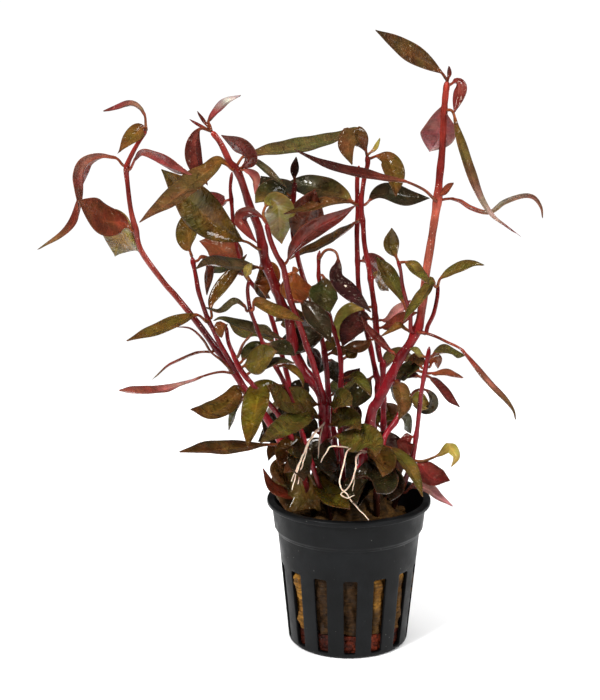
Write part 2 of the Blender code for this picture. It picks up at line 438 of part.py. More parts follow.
def at(line, places):
    """The points of a line at these fractions of its length."""
    along = lengths_along(line)
    wanted = np.asarray(places) * along[-1]
    return np.column_stack([np.interp(wanted, along, column) for column in line.T])


def spread(values, places):
    """Values that are spread evenly from 0 to 1, read at the places."""
    return np.interp(places, np.linspace(0, 1, len(values)), values)


def make_material(name, finish):
    """A material with one Principled shader."""
    material = bpy.data.materials.new(name)
    material.use_nodes = True
    shader = material.node_tree.nodes["Principled BSDF"]
    shader.inputs["Base Color"].default_value = (*finish.colour, 1.0)
    shader.inputs["Roughness"].default_value = finish.roughness
    shader.inputs["Metallic"].default_value = finish.metallic
    return material


def make_object(name, points, faces, finish):
    """An object from points in millimetres and faces that look outwards."""
    mesh = bpy.data.meshes.new(name)
    mesh.from_pydata([tuple(point) for point in np.asarray(points) * MM], [], faces)
    mesh.materials.append(make_material(name + "_" + finish, FINISHES[finish]))
    mesh.shade_smooth()
    mesh.set_sharp_from_angle(angle=SHARP_ANGLE)
    thing = bpy.data.objects.new(name, mesh)
    bpy.context.collection.objects.link(thing)
    return thing


def as_cutter(thing):
    """Mark an object as one that only shapes another."""
    thing.hide_render = True
    thing.display_type = "WIRE"
    return thing


def combine(thing, other, operation):
    """Cut the other object from this one, or join it on."""
    modifier = thing.modifiers.new(other.name, "BOOLEAN")
    modifier.operation = operation
    modifier.solver = "EXACT"
    modifier.object = as_cutter(other)


def skin_rings(rings, blade=False):
    """Points and faces of a closed skin over rings that run counter-clockwise; the last may be one point.

    A blade's faces are split from its thin edges, at the even corners, so that its two sides never cross.
    """
    sides = len(rings[0])
    points = np.vstack(rings)
    starts = np.concatenate(((0,), np.cumsum([len(ring) for ring in rings])))
    faces = []
    for a, b, high in zip(starts, starts[1:], rings[1:]):
        for side in range(sides):
            after = (side + 1) % sides
            if len(high) == 1:
                faces.append((a + side, a + after, b))
            elif blade and side % 2:
                faces += [(a + side, a + after, b + side), (a + after, b + after, b + side)]
            elif blade:
                faces += [(a + side, a + after, b + after), (a + side, b + after, b + side)]
            else:
                faces.append((a + side, a + after, b + after, b + side))
    faces.append(tuple(range(sides))[::-1])
    if len(rings[-1]) > 1:
        faces.append(tuple(range(starts[-2], starts[-1])))
    return points, faces


def turned(name, profile, sides, finish):
    """A solid of revolution about Z; the profile runs from one flat end to the other."""
    angles = np.arange(sides) * 2 * math.pi / sides
    rings = []
    for radius, height in profile:
        heights = np.full(sides, height)
        rings.append(np.column_stack((radius * np.cos(angles), radius * np.sin(angles), heights)))
    return make_object(name, *skin_rings(rings), finish)


def pot_radius(height):
    """The pot's outer radius below its step."""
    return FOOT_RADIUS + (STEP_RADIUS - FOOT_RADIUS) * height / STEP_HEIGHT


def make_pot():
    """The net pot: a turned wall with upright slots in its side and radial ones in its floor."""
    inner = [(pot_radius(FLOOR) - WALL, FLOOR), (STEP_RADIUS - WALL, STEP_HEIGHT),
             (COLLAR_BOTTOM_RADIUS - WALL, COLLAR_BOTTOM),
             (COLLAR_TOP_RADIUS - WALL, RIM_HEIGHT - LIP_ROUND),
             (COLLAR_TOP_RADIUS - WALL + LIP_ROUND, RIM_HEIGHT)]
    outer = [(FOOT_RADIUS - FOOT_ROUND, 0), (FOOT_RADIUS - FOOT_CHAMFER, FOOT_CHAMFER),
             (pot_radius(FOOT_ROUND), FOOT_ROUND), (STEP_RADIUS, STEP_HEIGHT),
             (COLLAR_BOTTOM_RADIUS, COLLAR_BOTTOM), (COLLAR_TOP_RADIUS, RIM_HEIGHT - LIP_DEPTH),
             (LIP_RADIUS, RIM_HEIGHT - LIP_DEPTH), (LIP_RADIUS, RIM_HEIGHT - LIP_ROUND),
             (LIP_RADIUS - LIP_ROUND, RIM_HEIGHT)]
    pot = turned("pot", outer + inner[::-1], POT_SIDES, "pot_plastic")
    combine(pot, make_side_slots(), "DIFFERENCE")
    combine(pot, make_floor_slots(), "DIFFERENCE")
    return pot


def make_side_slots():
    """The cutter for the slots round the wall: upright wedges, one of them towards the eye."""
    points = []
    faces = []
    reach = (FOOT_RADIUS - SLOT_CUT_INSIDE, STEP_RADIUS + SLOT_CUT_OUTSIDE)
    for slot in range(SLOT_COUNT):
        angle = -math.pi / 2 + slot * 2 * math.pi / SLOT_COUNT
        out = np.array((math.cos(angle), math.sin(angle), 0))
        across = np.array((-out[1], out[0], 0))
        rings = []
        for radius in reach:
            corners = ((-SLOT_WIDTH_BOTTOM / 2, SLOT_BOTTOM), (SLOT_WIDTH_BOTTOM / 2, SLOT_BOTTOM),
                       (SLOT_WIDTH_TOP / 2, SLOT_TOP), (-SLOT_WIDTH_TOP / 2, SLOT_TOP))
            ring = [out * radius + across * side + (0, 0, height) for side, height in corners]
            rings.append(np.array(ring))
        more, sides = skin_rings(rings)
        faces += [tuple(len(points) + corner for corner in face) for face in sides]
        points += list(more)
    return make_object("side_slots", points, faces, "pot_plastic")


def make_floor_slots():
    """The cutter for the radial slots through the floor."""
    points = []
    faces = []
    for slot in range(FLOOR_SLOT_COUNT):
        angle = math.pi / 2 + slot * 2 * math.pi / FLOOR_SLOT_COUNT
        out = np.array((math.cos(angle), math.sin(angle), 0))
        across = np.array((-out[1], out[0], 0)) * FLOOR_SLOT_WIDTH / 2
        rings = []
        for height in (-FLOOR, 2 * FLOOR):
            near = out * FLOOR_SLOT_INNER + (0, 0, height)
            far = out * FLOOR_SLOT_OUTER + (0, 0, height)
            rings.append(np.array([near - across, far - across, far + across, near + across]))
        more, sides = skin_rings(rings)
        faces += [tuple(len(points) + corner for corner in face) for face in sides]
        points += list(more)
    return make_object("floor_slots", points, faces, "pot_plastic")


def make_fill():
    """The clay grains in the foot of the pot and the plug of mineral wool over them."""
    def room(height):
        return pot_radius(height) - WALL - FILL_CLEARANCE

    clay = [(room(CLAY_BOTTOM), CLAY_BOTTOM), (room(CLAY_TOP), CLAY_TOP)]
    plug = [(room(PLUG_BOTTOM), PLUG_BOTTOM), (room(STEP_HEIGHT), STEP_HEIGHT),
            (room(STEP_HEIGHT), PLUG_SHOULDER), (PLUG_FLAT_RADIUS, PLUG_TOP)]
    turned("clay_bed", clay, FILL_SIDES, "clay_grains")
    turned("rockwool_plug", plug, FILL_SIDES, "mineral_wool")


def nearest(stem_line, across, height):
    """The fraction along a stem where the eye sees it nearest to (across, height)."""
    scale = -EYE[1] / (stem_line[:, 1] - EYE[1])
    seen = EYE + (stem_line - EYE) * scale[:, None]
    away = np.hypot(seen[:, 0] - across, seen[:, 2] - height)
    along = lengths_along(stem_line)
    return along[np.argmin(away)] / along[-1]


def root_on(stem, lines, target, clearance):
    """Where a piece that heads for the target leaves its stem, this far off the stem's surface."""
    line = lines[stem.name]
    place = nearest(line, *target[0])
    centre = at(line, [place])[0]
    before, after = at(line, (max(place - STEM_STEP, 0), min(place + STEM_STEP, 1)))
    ahead = unit(after - before)
    away = stand(target[1][0], target[2], target[1][1]) - centre
    if place < STEM_TIP_PLACE:
        away = without(away, ahead)
    return centre, centre + unit(away) * (spread(stem.thick, place) / 2 + clearance)


def stem_line(stem, lines, stems):
    """The centreline of a stem, from the plug's top or from the stem that it branches from."""
    if stem.parent is None:
        start = np.array((*stem.foot, PLUG_TOP + GAP))
        depths = (stem.foot[1], *stem.depth)
        seen = stem.points
    else:
        parent = stems[stem.parent]
        target = (stem.points[0], stem.points[1], stem.depth[0])
        start = root_on(parent, lines, target, SHOOT_CLEARANCE + stem.thick[0] / 2)[1]
        depths = (start[1], *stem.depth)
        seen = stem.points[1:]
    heights = np.array([start[2]] + [height for _, height in seen])
    places = lengths_along(np.column_stack(([start[0]] + [across for across, _ in seen], heights)))
    places = places / places[-1]
    points = [start]
    for (across, height), place in zip(seen, places[1:]):
        points.append(stand(across, spread(depths, place), height))
    return smooth(points)


def tube(line, thick, sides, spacing, flat_foot):
    """Rings along a line, closed flat at the start and to a point at the tip."""
    count = max(3, round(lengths_along(line)[-1] / spacing) + 1)
    places = np.linspace(0, 1, count)
    centres = at(line, places)
    ahead = unit(np.gradient(centres, axis=0))
    if flat_foot:
        ahead[0] = (0, 0, 1)
    side = unit(np.cross((0.0, 1.0, 0.0), ahead))
    front = np.cross(ahead, side)
    radii = spread(thick, places) / 2
    angles = np.arange(sides) * 2 * math.pi / sides
    rings = []
    for centre, u, v, radius in zip(centres, side, front, radii):
        rings.append(centre + radius * (np.cos(angles)[:, None] * u + np.sin(angles)[:, None] * v))
    rings.append([centres[-1] + ahead[-1] * radii[-1]])
    return skin_rings(rings)


def leaf_line(leaf, lines, stems, fused):
    """The midrib of a leaf, from its stem to its tip."""
    stem = stems[leaf.stem]
    early = min(1.0, leaf.petiole / LONG_PETIOLE)
    base_depth = at(lines[stem.name], [nearest(lines[stem.name], *leaf.points[0])])[0][1]
    first_depth = base_depth + (leaf.depth - base_depth) * PETIOLE_DEPTH_SHARE * early
    target = (leaf.points[0], leaf.points[1], first_depth)
    centre, edge = root_on(stem, lines, target, LEAF_CLEARANCE + PETIOLE_HALF_WIDTH)
    start = centre + ROOTED_SHARE * (edge - centre) if fused else edge
    places = lengths_along(np.array(leaf.points))
    places = places / places[-1]
    points = [start]
    for (across, height), place in zip(leaf.points[1:], places[1:]):
        points.append(stand(across, base_depth + (leaf.depth - base_depth) * place, height))
    return smooth(points)


def leaf_rings(leaf, line):
    """Four-cornered rings of a leaf: edge, lower midrib, edge, upper midrib, then the tip."""
    length = lengths_along(line)[-1]
    neck = min(LONGEST_PETIOLE_SHARE, leaf.petiole / length)
    blade = max(4, round((1 - neck) * length / LEAF_RING_SPACING))
    grown = (np.arange(blade) + LEAF_FIRST_RING) / (blade + LEAF_FIRST_RING)
    places = np.concatenate(((0,), neck + (1 - neck) * grown, (1,)))
    centres = at(line, places)
    ahead = unit(np.gradient(centres, axis=0))
    to_eye = unit(without(unit(EYE - centres), ahead))
    up = np.cross(ahead, to_eye)
    if up[:, 2].mean() < 0:
        up = -up
    turn = np.radians(spread(leaf.turn, places))[:, None]
    upper = np.cos(turn) * up + np.sin(turn) * to_eye
    across = np.cross(upper, ahead)
    grown = np.clip((places - neck) / (1 - neck), 0, 1)
    belly = np.sin(math.pi * grown ** BELLY_SKEW) ** BELLY_SHARPNESS
    half = np.maximum(leaf.width / 2 * belly, PETIOLE_HALF_WIDTH)
    scale = (centres[:, 1] - EYE[1]) / -EYE[1]
    steps = np.gradient(lengths_along(centres))[:, None]
    bend = np.abs(np.sum(np.gradient(ahead, axis=0) / steps * across, axis=1))
    half = np.minimum(half * scale, INNER_EDGE / np.maximum(bend, LEAST_BEND))
    thicknesses = (PETIOLE_THICKNESS, MIDRIB_THICKNESS, MIDRIB_THICKNESS / 2)
    thick = np.interp(grown, (0, LEAF_TAPER_FROM, 1), thicknesses)
    rings = []
    for centre, u, n, h, t in zip(centres[:-1], across, upper, half, thick):
        lift = n * h * math.sin(FOLD_ANGLE)
        side = u * h * math.cos(FOLD_ANGLE)
        midrib = n * t / 2
        rings.append(np.array((centre - side + lift, centre - midrib, centre + side + lift, centre + midrib)))
    rings.append(centres[-1:])
    return rings


def make_stems(lines, stems):
    """Every stem and shoot, with its small leaves grown on."""
    small = {name: 0 for name in stems}
    made = {}
    for stem in STEMS:
        skin = tube(lines[stem.name], stem.thick, STEM_SIDES, STEM_RING_SPACING, stem.parent is None)
        made[stem.name] = make_object(stem.name, *skin, "stem_crimson")
    for leaf in SMALL_LEAVES:
        small[leaf.stem] += 1
        skin = skin_rings(leaf_rings(leaf, leaf_line(leaf, lines, stems, True)), blade=True)
        blade = make_object(f"{leaf.stem}_small_leaf_{small[leaf.stem]}", *skin, leaf.finish)
        combine(made[leaf.stem], blade, "UNION")


def make_leaves(lines, stems):
    """Every large leaf, set against its stem."""
    for leaf in LEAVES:
        skin = skin_rings(leaf_rings(leaf, leaf_line(leaf, lines, stems, False)), blade=True)
        make_object(leaf.name, *skin, leaf.finish)


def make_roots(lines, stems):
    """The bundles of aerial roots, their strands joined at the stem that they hang from."""
    for roots in ROOTS:
        bundle = None
        for number, (depth, seen) in enumerate(roots.strands):
            line = lines[roots.stem]
            centre = at(line, [nearest(line, *seen[0])])[0]
            start = centre - (0, spread(stems[roots.stem].thick, ROOT_PLACE) / 2 + ROOT_CLEARANCE, 0)
            places = lengths_along(np.array(seen))
            places = np.sqrt(places / places[-1])
            points = [start]
            for (across, height), place in zip(seen[1:], places[1:]):
                points.append(stand(across, start[1] + (depth - start[1]) * place, height))
            thick = (ROOT_THICKNESS, ROOT_THICKNESS)
            skin = tube(smooth(points), thick, ROOT_SIDES, ROOT_RING_SPACING, False)
            name = roots.name if bundle is None else f"{roots.name}_strand_{number}"
            strand = make_object(name, *skin, "root_cream")
            if bundle is None:
                bundle = strand
            else:
                combine(bundle, strand, "UNION")


def main():
    """Build the pot, what fills it, and the plant."""
    clear_scene()
    make_pot()
    make_fill()
    stems = {stem.name: stem for stem in STEMS}
    lines = {}
    for stem in STEMS:
        lines[stem.name] = stem_line(stem, lines, stems)
    make_stems(lines, stems)
    make_leaves(lines, stems)
    make_roots(lines, stems)


main()
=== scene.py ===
"""The looks of a young Alternanthera reineckii in a slotted net pot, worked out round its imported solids.

Lengths are millimetres until a mesh is made. The plant's points are (across, height) on the upright middle
plane of the pot, as the camera's eye sees them there, and the function stand carries each one along its line
of sight to its own depth, where minus is nearer to the eye. A leaf's turn is the angle of its upper face: 90
faces the eye, 0 is edge on and -90 shows the underside.
"""

import logging
import math
from dataclasses import dataclass
from enum import Enum
from typing import Optional, Union

import bmesh
import bpy
import numpy as np
from mathutils import Euler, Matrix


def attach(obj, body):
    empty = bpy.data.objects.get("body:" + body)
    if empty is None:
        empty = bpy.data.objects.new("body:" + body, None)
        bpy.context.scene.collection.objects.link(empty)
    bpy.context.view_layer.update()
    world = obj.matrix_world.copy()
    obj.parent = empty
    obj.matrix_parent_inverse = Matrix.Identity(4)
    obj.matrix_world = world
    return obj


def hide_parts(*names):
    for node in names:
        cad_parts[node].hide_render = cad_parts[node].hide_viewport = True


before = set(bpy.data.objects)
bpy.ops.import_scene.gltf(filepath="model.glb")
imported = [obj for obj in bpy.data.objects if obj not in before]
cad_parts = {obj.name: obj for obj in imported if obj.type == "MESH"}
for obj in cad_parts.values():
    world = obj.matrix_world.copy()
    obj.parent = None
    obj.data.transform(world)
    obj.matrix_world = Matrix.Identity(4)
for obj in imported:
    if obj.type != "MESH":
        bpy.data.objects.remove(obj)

LOG = logging.getLogger("net_pot_plant")
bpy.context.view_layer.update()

Array = np.ndarray
Colour = tuple[float, float, float]
Socket = bpy.types.NodeSocket
Material = bpy.types.Material
Pair = tuple[float, float]
Numbers = tuple[float, ...]
Line = tuple[Pair, ...]

MM = 0.001
EYE = np.array((-16.4, -500.0, 214.0))
EYE_TILT = 77.2
EYE_LENS = 80.13
BODY = "root"
PLUG_TOP = 45.3
ROOTED = 4.0
FLAT = (1, 1, 0)
SAMPLES_PER_SPAN = 12
EVEN_BELLY = 0.47
NOWHERE = 2.0
SHADE_PARTS = 1000
STEM_SEED = 100
LEAF_SEED = 500
SMALL_LEAF_SEED = 2000
ROOT_SEED = 4000
SEED_STEP = 10
BLUSH_HEIGHTS = (112.0, 124.0, 146.0, 158.0)


class Slot(Enum):
    """The record's material slots."""

    POT = "pot_plastic"
    WOOL = "mineral_wool"
    CLAY = "clay_grains"
    STEM = "stem_crimson"
    OLIVE = "leaf_olive"
    GREEN = "leaf_green"
    DARK = "leaf_dark"
    WINE = "leaf_wine"
    KHAKI = "leaf_khaki"
    ROOT = "root_cream"


@dataclass(frozen=True)
class Shade:
    """The slot that leaves of a tint usually take, and their colours above and below.

    The colours run from the stalk to the tip and are in thousandths.
    """

    slot: Slot
    above: tuple[Colour, ...]
    below: tuple[Colour, ...] = ((130, 30, 16), (115, 25, 13))


class Tint(Enum):
    """The leaf colours that the plant shows."""

    OLIVE = Shade(Slot.OLIVE, ((85, 31, 8), (80, 41, 7.3), (74, 36, 6.6), (66, 25, 7.3)))
    OLIVE_BROWN = Shade(Slot.OLIVE, ((76, 23, 8.4), (76, 33, 9.1), (68, 28, 8.4), (53, 20, 7)))
    BROWN = Shade(Slot.OLIVE, ((86, 27, 9.8), (73, 30, 9.1), (69, 28, 8.4), (60, 23, 7)))
    BROAD_BROWN = Shade(Slot.OLIVE,
        ((100, 44, 10), (115, 52, 10), (50, 36, 10), (110, 52, 10), (60, 36, 9)))
    DRAPED = Shade(Slot.OLIVE, ((50, 28, 6), (80, 45, 10), (45, 26, 6), (40, 18, 5)))
    GREY_BROWN = Shade(Slot.OLIVE, ((94, 46, 7.2), (65, 35, 9.6), (65, 33, 11), (65, 29, 13)))
    GREY_OLIVE = Shade(Slot.OLIVE, ((82, 22, 8.4), (51, 34, 9.8), (44, 31, 9.8), (34, 22, 6.3)),
        ((82, 11, 5), (68, 10, 5)))
    DARK_GREEN = Shade(Slot.DARK, ((40, 21, 8.4), (27, 24, 7), (24, 20, 6.3), (24, 15, 6.3)))
    GREY_GREEN = Shade(Slot.DARK, ((48, 25, 9.8), (48, 36, 15), (42, 32, 13), (32, 21, 9.8)))
    # Partly painted shade: leaves deep under the canopy take this near-black tint, their own dark tone
    # together with the shadow they sit in.
    NEAR_BLACK = Shade(Slot.DARK, ((21, 9.1, 4.2), (14, 10, 4.2), (15, 10, 4.2), (14, 7.8, 3.5)),
        ((32, 7.8, 5.6), (25, 6.5, 4.9)))
    OLIVE_TO_BLACK = Shade(Slot.DARK, ((80, 46, 12), (60, 38, 10), (16, 14, 7), (14, 12, 6)),
        ((50, 14, 9), (30, 10, 7)))
    BLACK_TO_OLIVE = Shade(Slot.DARK, ((16, 13, 6), (15, 13, 7), (50, 34, 9), (80, 48, 12)),
        ((30, 10, 7), (50, 14, 9)))
    EMBER_TO_WINE = Shade(Slot.WINE, ((140, 40, 20), (60, 11, 7), (28, 5.3, 4.2), (30, 6, 4)),
        ((140, 45, 20), (60, 11, 8), (38, 6.7, 5.6)))
    GREEN = Shade(Slot.GREEN, ((65, 38, 8), (62, 45, 8), (56, 40, 7), (50, 28, 7)))
    BRIGHT_GREEN = Shade(Slot.GREEN, ((61, 41, 5), (69, 51, 4.5), (61, 41, 3.9), (43, 21, 3.4)))
    PALE_GREEN = Shade(Slot.GREEN, ((82, 51, 9.7), (129, 91, 26), (116, 79, 23), (82, 51, 12)))
    LIGHT_OLIVE = Shade(Slot.GREEN, ((99, 60, 9.4), (115, 81, 13), (107, 72, 12), (84, 57, 9.9)),
        ((107, 60, 12), (107, 63, 12)))
    KHAKI = Shade(Slot.KHAKI, ((150, 95, 22), (230, 160, 38), (230, 165, 42), (190, 125, 33)),
        ((190, 130, 35), (160, 105, 28)))
    AMBER = Shade(Slot.KHAKI, ((195, 43, 14), (221, 60, 13), (221, 66, 14), (182, 48, 12)),
        ((234, 66, 18), (208, 58, 16)))
    YELLOW = Shade(Slot.KHAKI, ((153, 94, 19), (243, 180, 32), (270, 202, 40), (234, 173, 36)),
        ((252, 180, 36), (234, 166, 32)))
    WINE = Shade(Slot.WINE, ((95, 12, 8.4), (73, 9.4, 7.7), (65, 8.6, 7), (52, 7.8, 6.3)),
        ((103, 16, 13), (86, 12, 10)))
    DARK_WINE = Shade(Slot.WINE, ((41, 6.7, 4.9), (27, 5.3, 4.2), (26, 5.3, 4.2), (27, 6, 4.2)),
        ((45, 7.5, 6.3), (38, 6.7, 5.6)))
    PURPLE = Shade(Slot.DARK, ((32, 7, 6.6), (21, 4.9, 5.4), (20, 4.2, 4.8), (21, 6.3, 4.8)),
        ((35, 7, 8.4), (28, 6.3, 7.2)))
    RED_BROWN = Shade(Slot.WINE, ((145, 25, 12), (116, 25, 12), (105, 23, 11), (88, 18, 9)),
        ((208, 52, 46), (177, 43, 39)))
    BRIGHT_RED = Shade(Slot.WINE, ((155, 20, 11), (138, 19, 9.8), (129, 20, 11), (120, 23, 14)),
        ((189, 39, 34), (189, 43, 35)))
    ROSY = Shade(Slot.WINE, ((170, 34, 24), (170, 31, 26), (180, 41, 35), (150, 36, 32)),
        ((190, 38, 34), (170, 34, 30)))
    MAUVE = Shade(Slot.WINE, ((153, 34, 29), (161, 37, 36), (191, 58, 58), (230, 86, 86)),
        ((130, 21, 17), (161, 37, 35), (199, 61, 60), (252, 104, 104)))
    PALE_ROSE = Shade(Slot.OLIVE, ((228, 63, 54), (266, 95, 90), (294, 126, 122), (228, 81, 81)),
        ((257, 86, 86), (257, 86, 81)))
    RED_TO_GREY = Shade(Slot.KHAKI, ((146, 39, 13), (138, 33, 20), (120, 17, 11), (95, 70, 27)),
        ((138, 39, 17), (163, 41, 34), (129, 19, 14), (103, 78, 32)))
    GREY_TO_RED = Shade(Slot.OLIVE, ((69, 55, 21), (95, 58, 32), (138, 25, 22), (52, 14, 7)),
        ((69, 55, 21), (112, 47, 32), (138, 25, 22), (52, 14, 7)))
    WINE_TO_GREY = Shade(Slot.WINE, ((95, 15, 13), (104, 13, 15), (209, 162, 166), (285, 237, 237)),
        ((104, 17, 17), (104, 13, 15), (228, 180, 185), (304, 257, 257)))
    BROWN_TO_ROSE = Shade(Slot.OLIVE,
        ((103, 47, 9.8), (65, 36, 9.1), (69, 33, 15), (232, 140, 119), (120, 11, 14)),
        ((112, 31, 15), (112, 47, 28), (241, 148, 126), (120, 11, 14)))
    BROWN_TO_WINE = Shade(Slot.WINE, ((90, 22, 14), (190, 95, 90), (130, 28, 20), (120, 30, 20)),
        ((90, 22, 14), (200, 100, 95), (140, 30, 22), (130, 32, 22)))
    ROSE_TO_OLIVE = Shade(Slot.OLIVE,
        ((103, 12, 7.7), (97, 17, 10), (120, 45, 28), (58, 34, 12), (39, 19, 6.9)),
        ((109, 16, 10), (142, 50, 36), (129, 45, 32), (45, 25, 9.8)))
    RED_GREEN_BROWN = Shade(Slot.OLIVE,
        ((146, 35, 14), (146, 33, 21), (129, 98, 38), (146, 109, 49), (77, 28, 13)),
        ((155, 39, 25), (155, 35, 27), (138, 94, 45), (120, 55, 35), (86, 22, 14)))


@dataclass(frozen=True)
class Stem:
    """A stem or a side shoot.

    Attributes:
        base: where it leaves the plug, or the stem that carries it.
        thick: its diameters from foot to tip.
        depth: its depths after the start.
        seen: where it is seen: across, height, across, height and so on.
        blush: how much paler and more orange it is at the heights of BLUSH_HEIGHTS.
    """

    base: Union[str, Pair]
    thick: Numbers
    depth: Numbers
    seen: Numbers
    blush: float = 0.0


@dataclass(frozen=True)
class Leaf:
    """A leaf.

    Attributes:
        on: the shoot that carries it, or the stem, without the stem_ of its name.
        tint: its colours.
        width: its full width.
        depth: the depth of its tip.
        seen: where its midrib is seen: across, height, across, height and so on.
        turn: the angle of its upper face, or several from base to tip.
        petiole: the length of its stalk.
        belly: how far along the blade it is broadest.
        slot: its material slot, if it isn't its tint's usual one.
    """

    on: str
    tint: Tint
    width: float
    depth: float
    seen: Numbers
    turn: Union[float, Numbers] = 60.0
    petiole: float = 2.0
    belly: float = EVEN_BELLY
    slot: Optional[Slot] = None

    @property
    def stem(self) -> str:
        """The name of what carries it."""
        return self.on if self.on in STEMS else "stem_" + self.on

    @property
    def kind(self) -> Slot:
        """Its material slot."""
        return self.slot or self.tint.value.slot


@dataclass(frozen=True)
class Roots:
    """A bundle of aerial roots: its stem, its start, and each strand's depth and further seen points."""

    stem: str
    start: Pair
    strands: tuple[tuple[float, Numbers], ...]


STEMS = {
    "stem_far_left": Stem((-10, -3), (2.6, 2.2, 1.8, 1.5, 1.2), (-5, -9, -14, -18), (-14, 52, -22, 68,
        -30, 81, -34, 86, -38.5, 93.5, -44, 101, -50, 109.5, -57, 118.5, -60.8, 123, -67.7, 133, -69.5, 140,
        -71, 147, -71.8, 155, -72, 160.3, -70, 165, -67, 170, -65.3, 172.5), 0.3),
    "shoot_far_left": Stem("stem_far_left", (1.5, 1.3, 1.2), (-14, -16, -15), (-38.5, 94, -42.5, 102,
        -45, 107.5, -46.5, 110.5, -48, 115, -49.5, 120, -50.3, 125, -51.5, 131.5)),
    "stem_left_back": Stem((-12, 7), (1.8, 1.5, 1.1), (12, 16, 22), (-18, 80, -24, 105, -28, 117,
        -33.5, 124.5, -36, 131, -37.7, 140, -38.5, 150, -38.8, 154, -38.2, 159)),
    "stem_left_front": Stem((-6, -12), (1.5, 1.3, 1), (-15, -16, -19), (-14, 66, -18, 80, -21.5, 89,
        -24, 94, -26.5, 98.5, -28, 101.5, -30, 106, -31, 109, -32.7, 114, -33.5, 120, -33, 124)),
    "stem_left_inner": Stem((-11.5, -7), (1.9, 1.6, 1.1), (-16, -22, -20), (-20, 72, -31.2, 87.5,
        -33.8, 90.7, -36.5, 94.5, -38.6, 99.5, -40, 103.3, -40.6, 108.5)),
    "stem_middle": Stem((-6, 0), (3, 3, 2.9, 2.7, 2.3, 1.5), (0, -3, -7, -14), (-8.2, 74, -8.3, 78.6,
        -8.6, 83, -10.6, 87.5, -14.3, 92, -16.6, 96.3, -18.3, 100, -19.2, 105, -20.3, 111.4, -22.5, 116,
        -24, 120.7, -26, 125.3, -27.6, 129.6, -28.5, 134.5, -29.7, 140.6, -31.5, 145.2, -32.8, 148.5,
        -34, 152.5, -35.5, 157, -37, 160, -38.8, 161.8, -40, 164.5, -42, 168.5, -44.7, 172)),
    "shoot_middle": Stem("stem_middle", (1.8, 1.7, 1.3), (-9, -12, -16), (-9, 84, -11.2, 92.7,
        -12.6, 97.5, -14.3, 102, -15.7, 106.5, -18, 113, -19.8, 118, -21, 124, -22, 128.5, -24, 132,
        -26, 137, -27.3, 142.5)),
    "stem_back": Stem((-3, 8), (1.8, 1.6, 1.3), (11, 11, 16), (-5, 70, -7, 85, -7.5, 92, -8.6, 101,
        -9.8, 106, -11.8, 114, -13.3, 119, -15.5, 125, -17.3, 132, -18.8, 140, -18.5, 150, -18, 156)),
    "stem_centre": Stem((-1, -5), (1.6, 1.4, 1), (-5, -3, 0), (-3, 75, -2.8, 92, -3.3, 99.5, -5, 106,
        -7.3, 113.5, -8.7, 118, -10.2, 124, -10.3, 131, -10, 133.5)),
    "stem_twin_left": Stem((7, 8), (1.7, 1.6, 1.4), (11, 14, 19), (9.2, 85.7, 8.7, 92, 7.8, 96.3,
        6.8, 101.2, 4.5, 111, 2.7, 121.5, 2.3, 130, 2, 139, 2.3, 147, 2, 152.5, 2, 157, 2.5, 161)),
    "stem_twin_right": Stem((12, 3), (1.8, 1.6, 1.3), (4, 5, 7), (11, 93, 10.3, 96.3, 9.3, 101,
        8.3, 111, 7.8, 115.8, 6.9, 121.8, 6, 127.8, 4.5, 135.5, 4, 141.5, 3.3, 148.5, 3.7, 153, 4.4, 158,
        5.3, 161.5, 5, 164.5)),
    "stem_tall_right": Stem((3, -7), (3.6, 3.4, 2.6, 2.4, 2.1, 1.4), (-11, -11, -12, -15), (7, 76.7,
        9.3, 82.7, 12.7, 89.5, 16.4, 97.4, 19.8, 102.6, 21.7, 106.7, 22.6, 108.7, 23.4, 113.9, 24.6, 125.8,
        26, 135.7, 26.9, 142.4, 27.9, 150.2, 28.4, 157.5, 29.1, 166.4, 29.5, 179.5, 30.2, 188), 1.0),
    "shoot_right_inner": Stem("stem_tall_right", (1.2, 1.1, 1), (-16, -18), (20.6, 107.3, 19.7, 112,
        18.3, 117, 17, 122, 16.3, 127, 15.3, 130.5)),
    "shoot_right_outer": Stem("stem_tall_right", (1.3, 1.2, 1), (-12, -12), (22.8, 106.8, 25.5, 108.5,
        27.3, 112.5, 28.4, 118, 28.6, 122.5)),
    "stem_far_right": Stem((14, -4), (1.6, 1.4, 1.2), (-7, -11, -12), (19, 56, 21.3, 63.5, 22.3, 71,
        22.8, 75, 23.2, 80, 23.8, 86, 24.5, 91, 25.8, 98.5, 26.1, 101.5)),
    "stem_low_right": Stem((9, -11), (2, 1.8, 1.3), (-14, -9, -5), (9.3, 57, 10.5, 66, 12.2, 71.5,
        15.4, 76, 17.3, 80.5, 18.5, 85)),
}

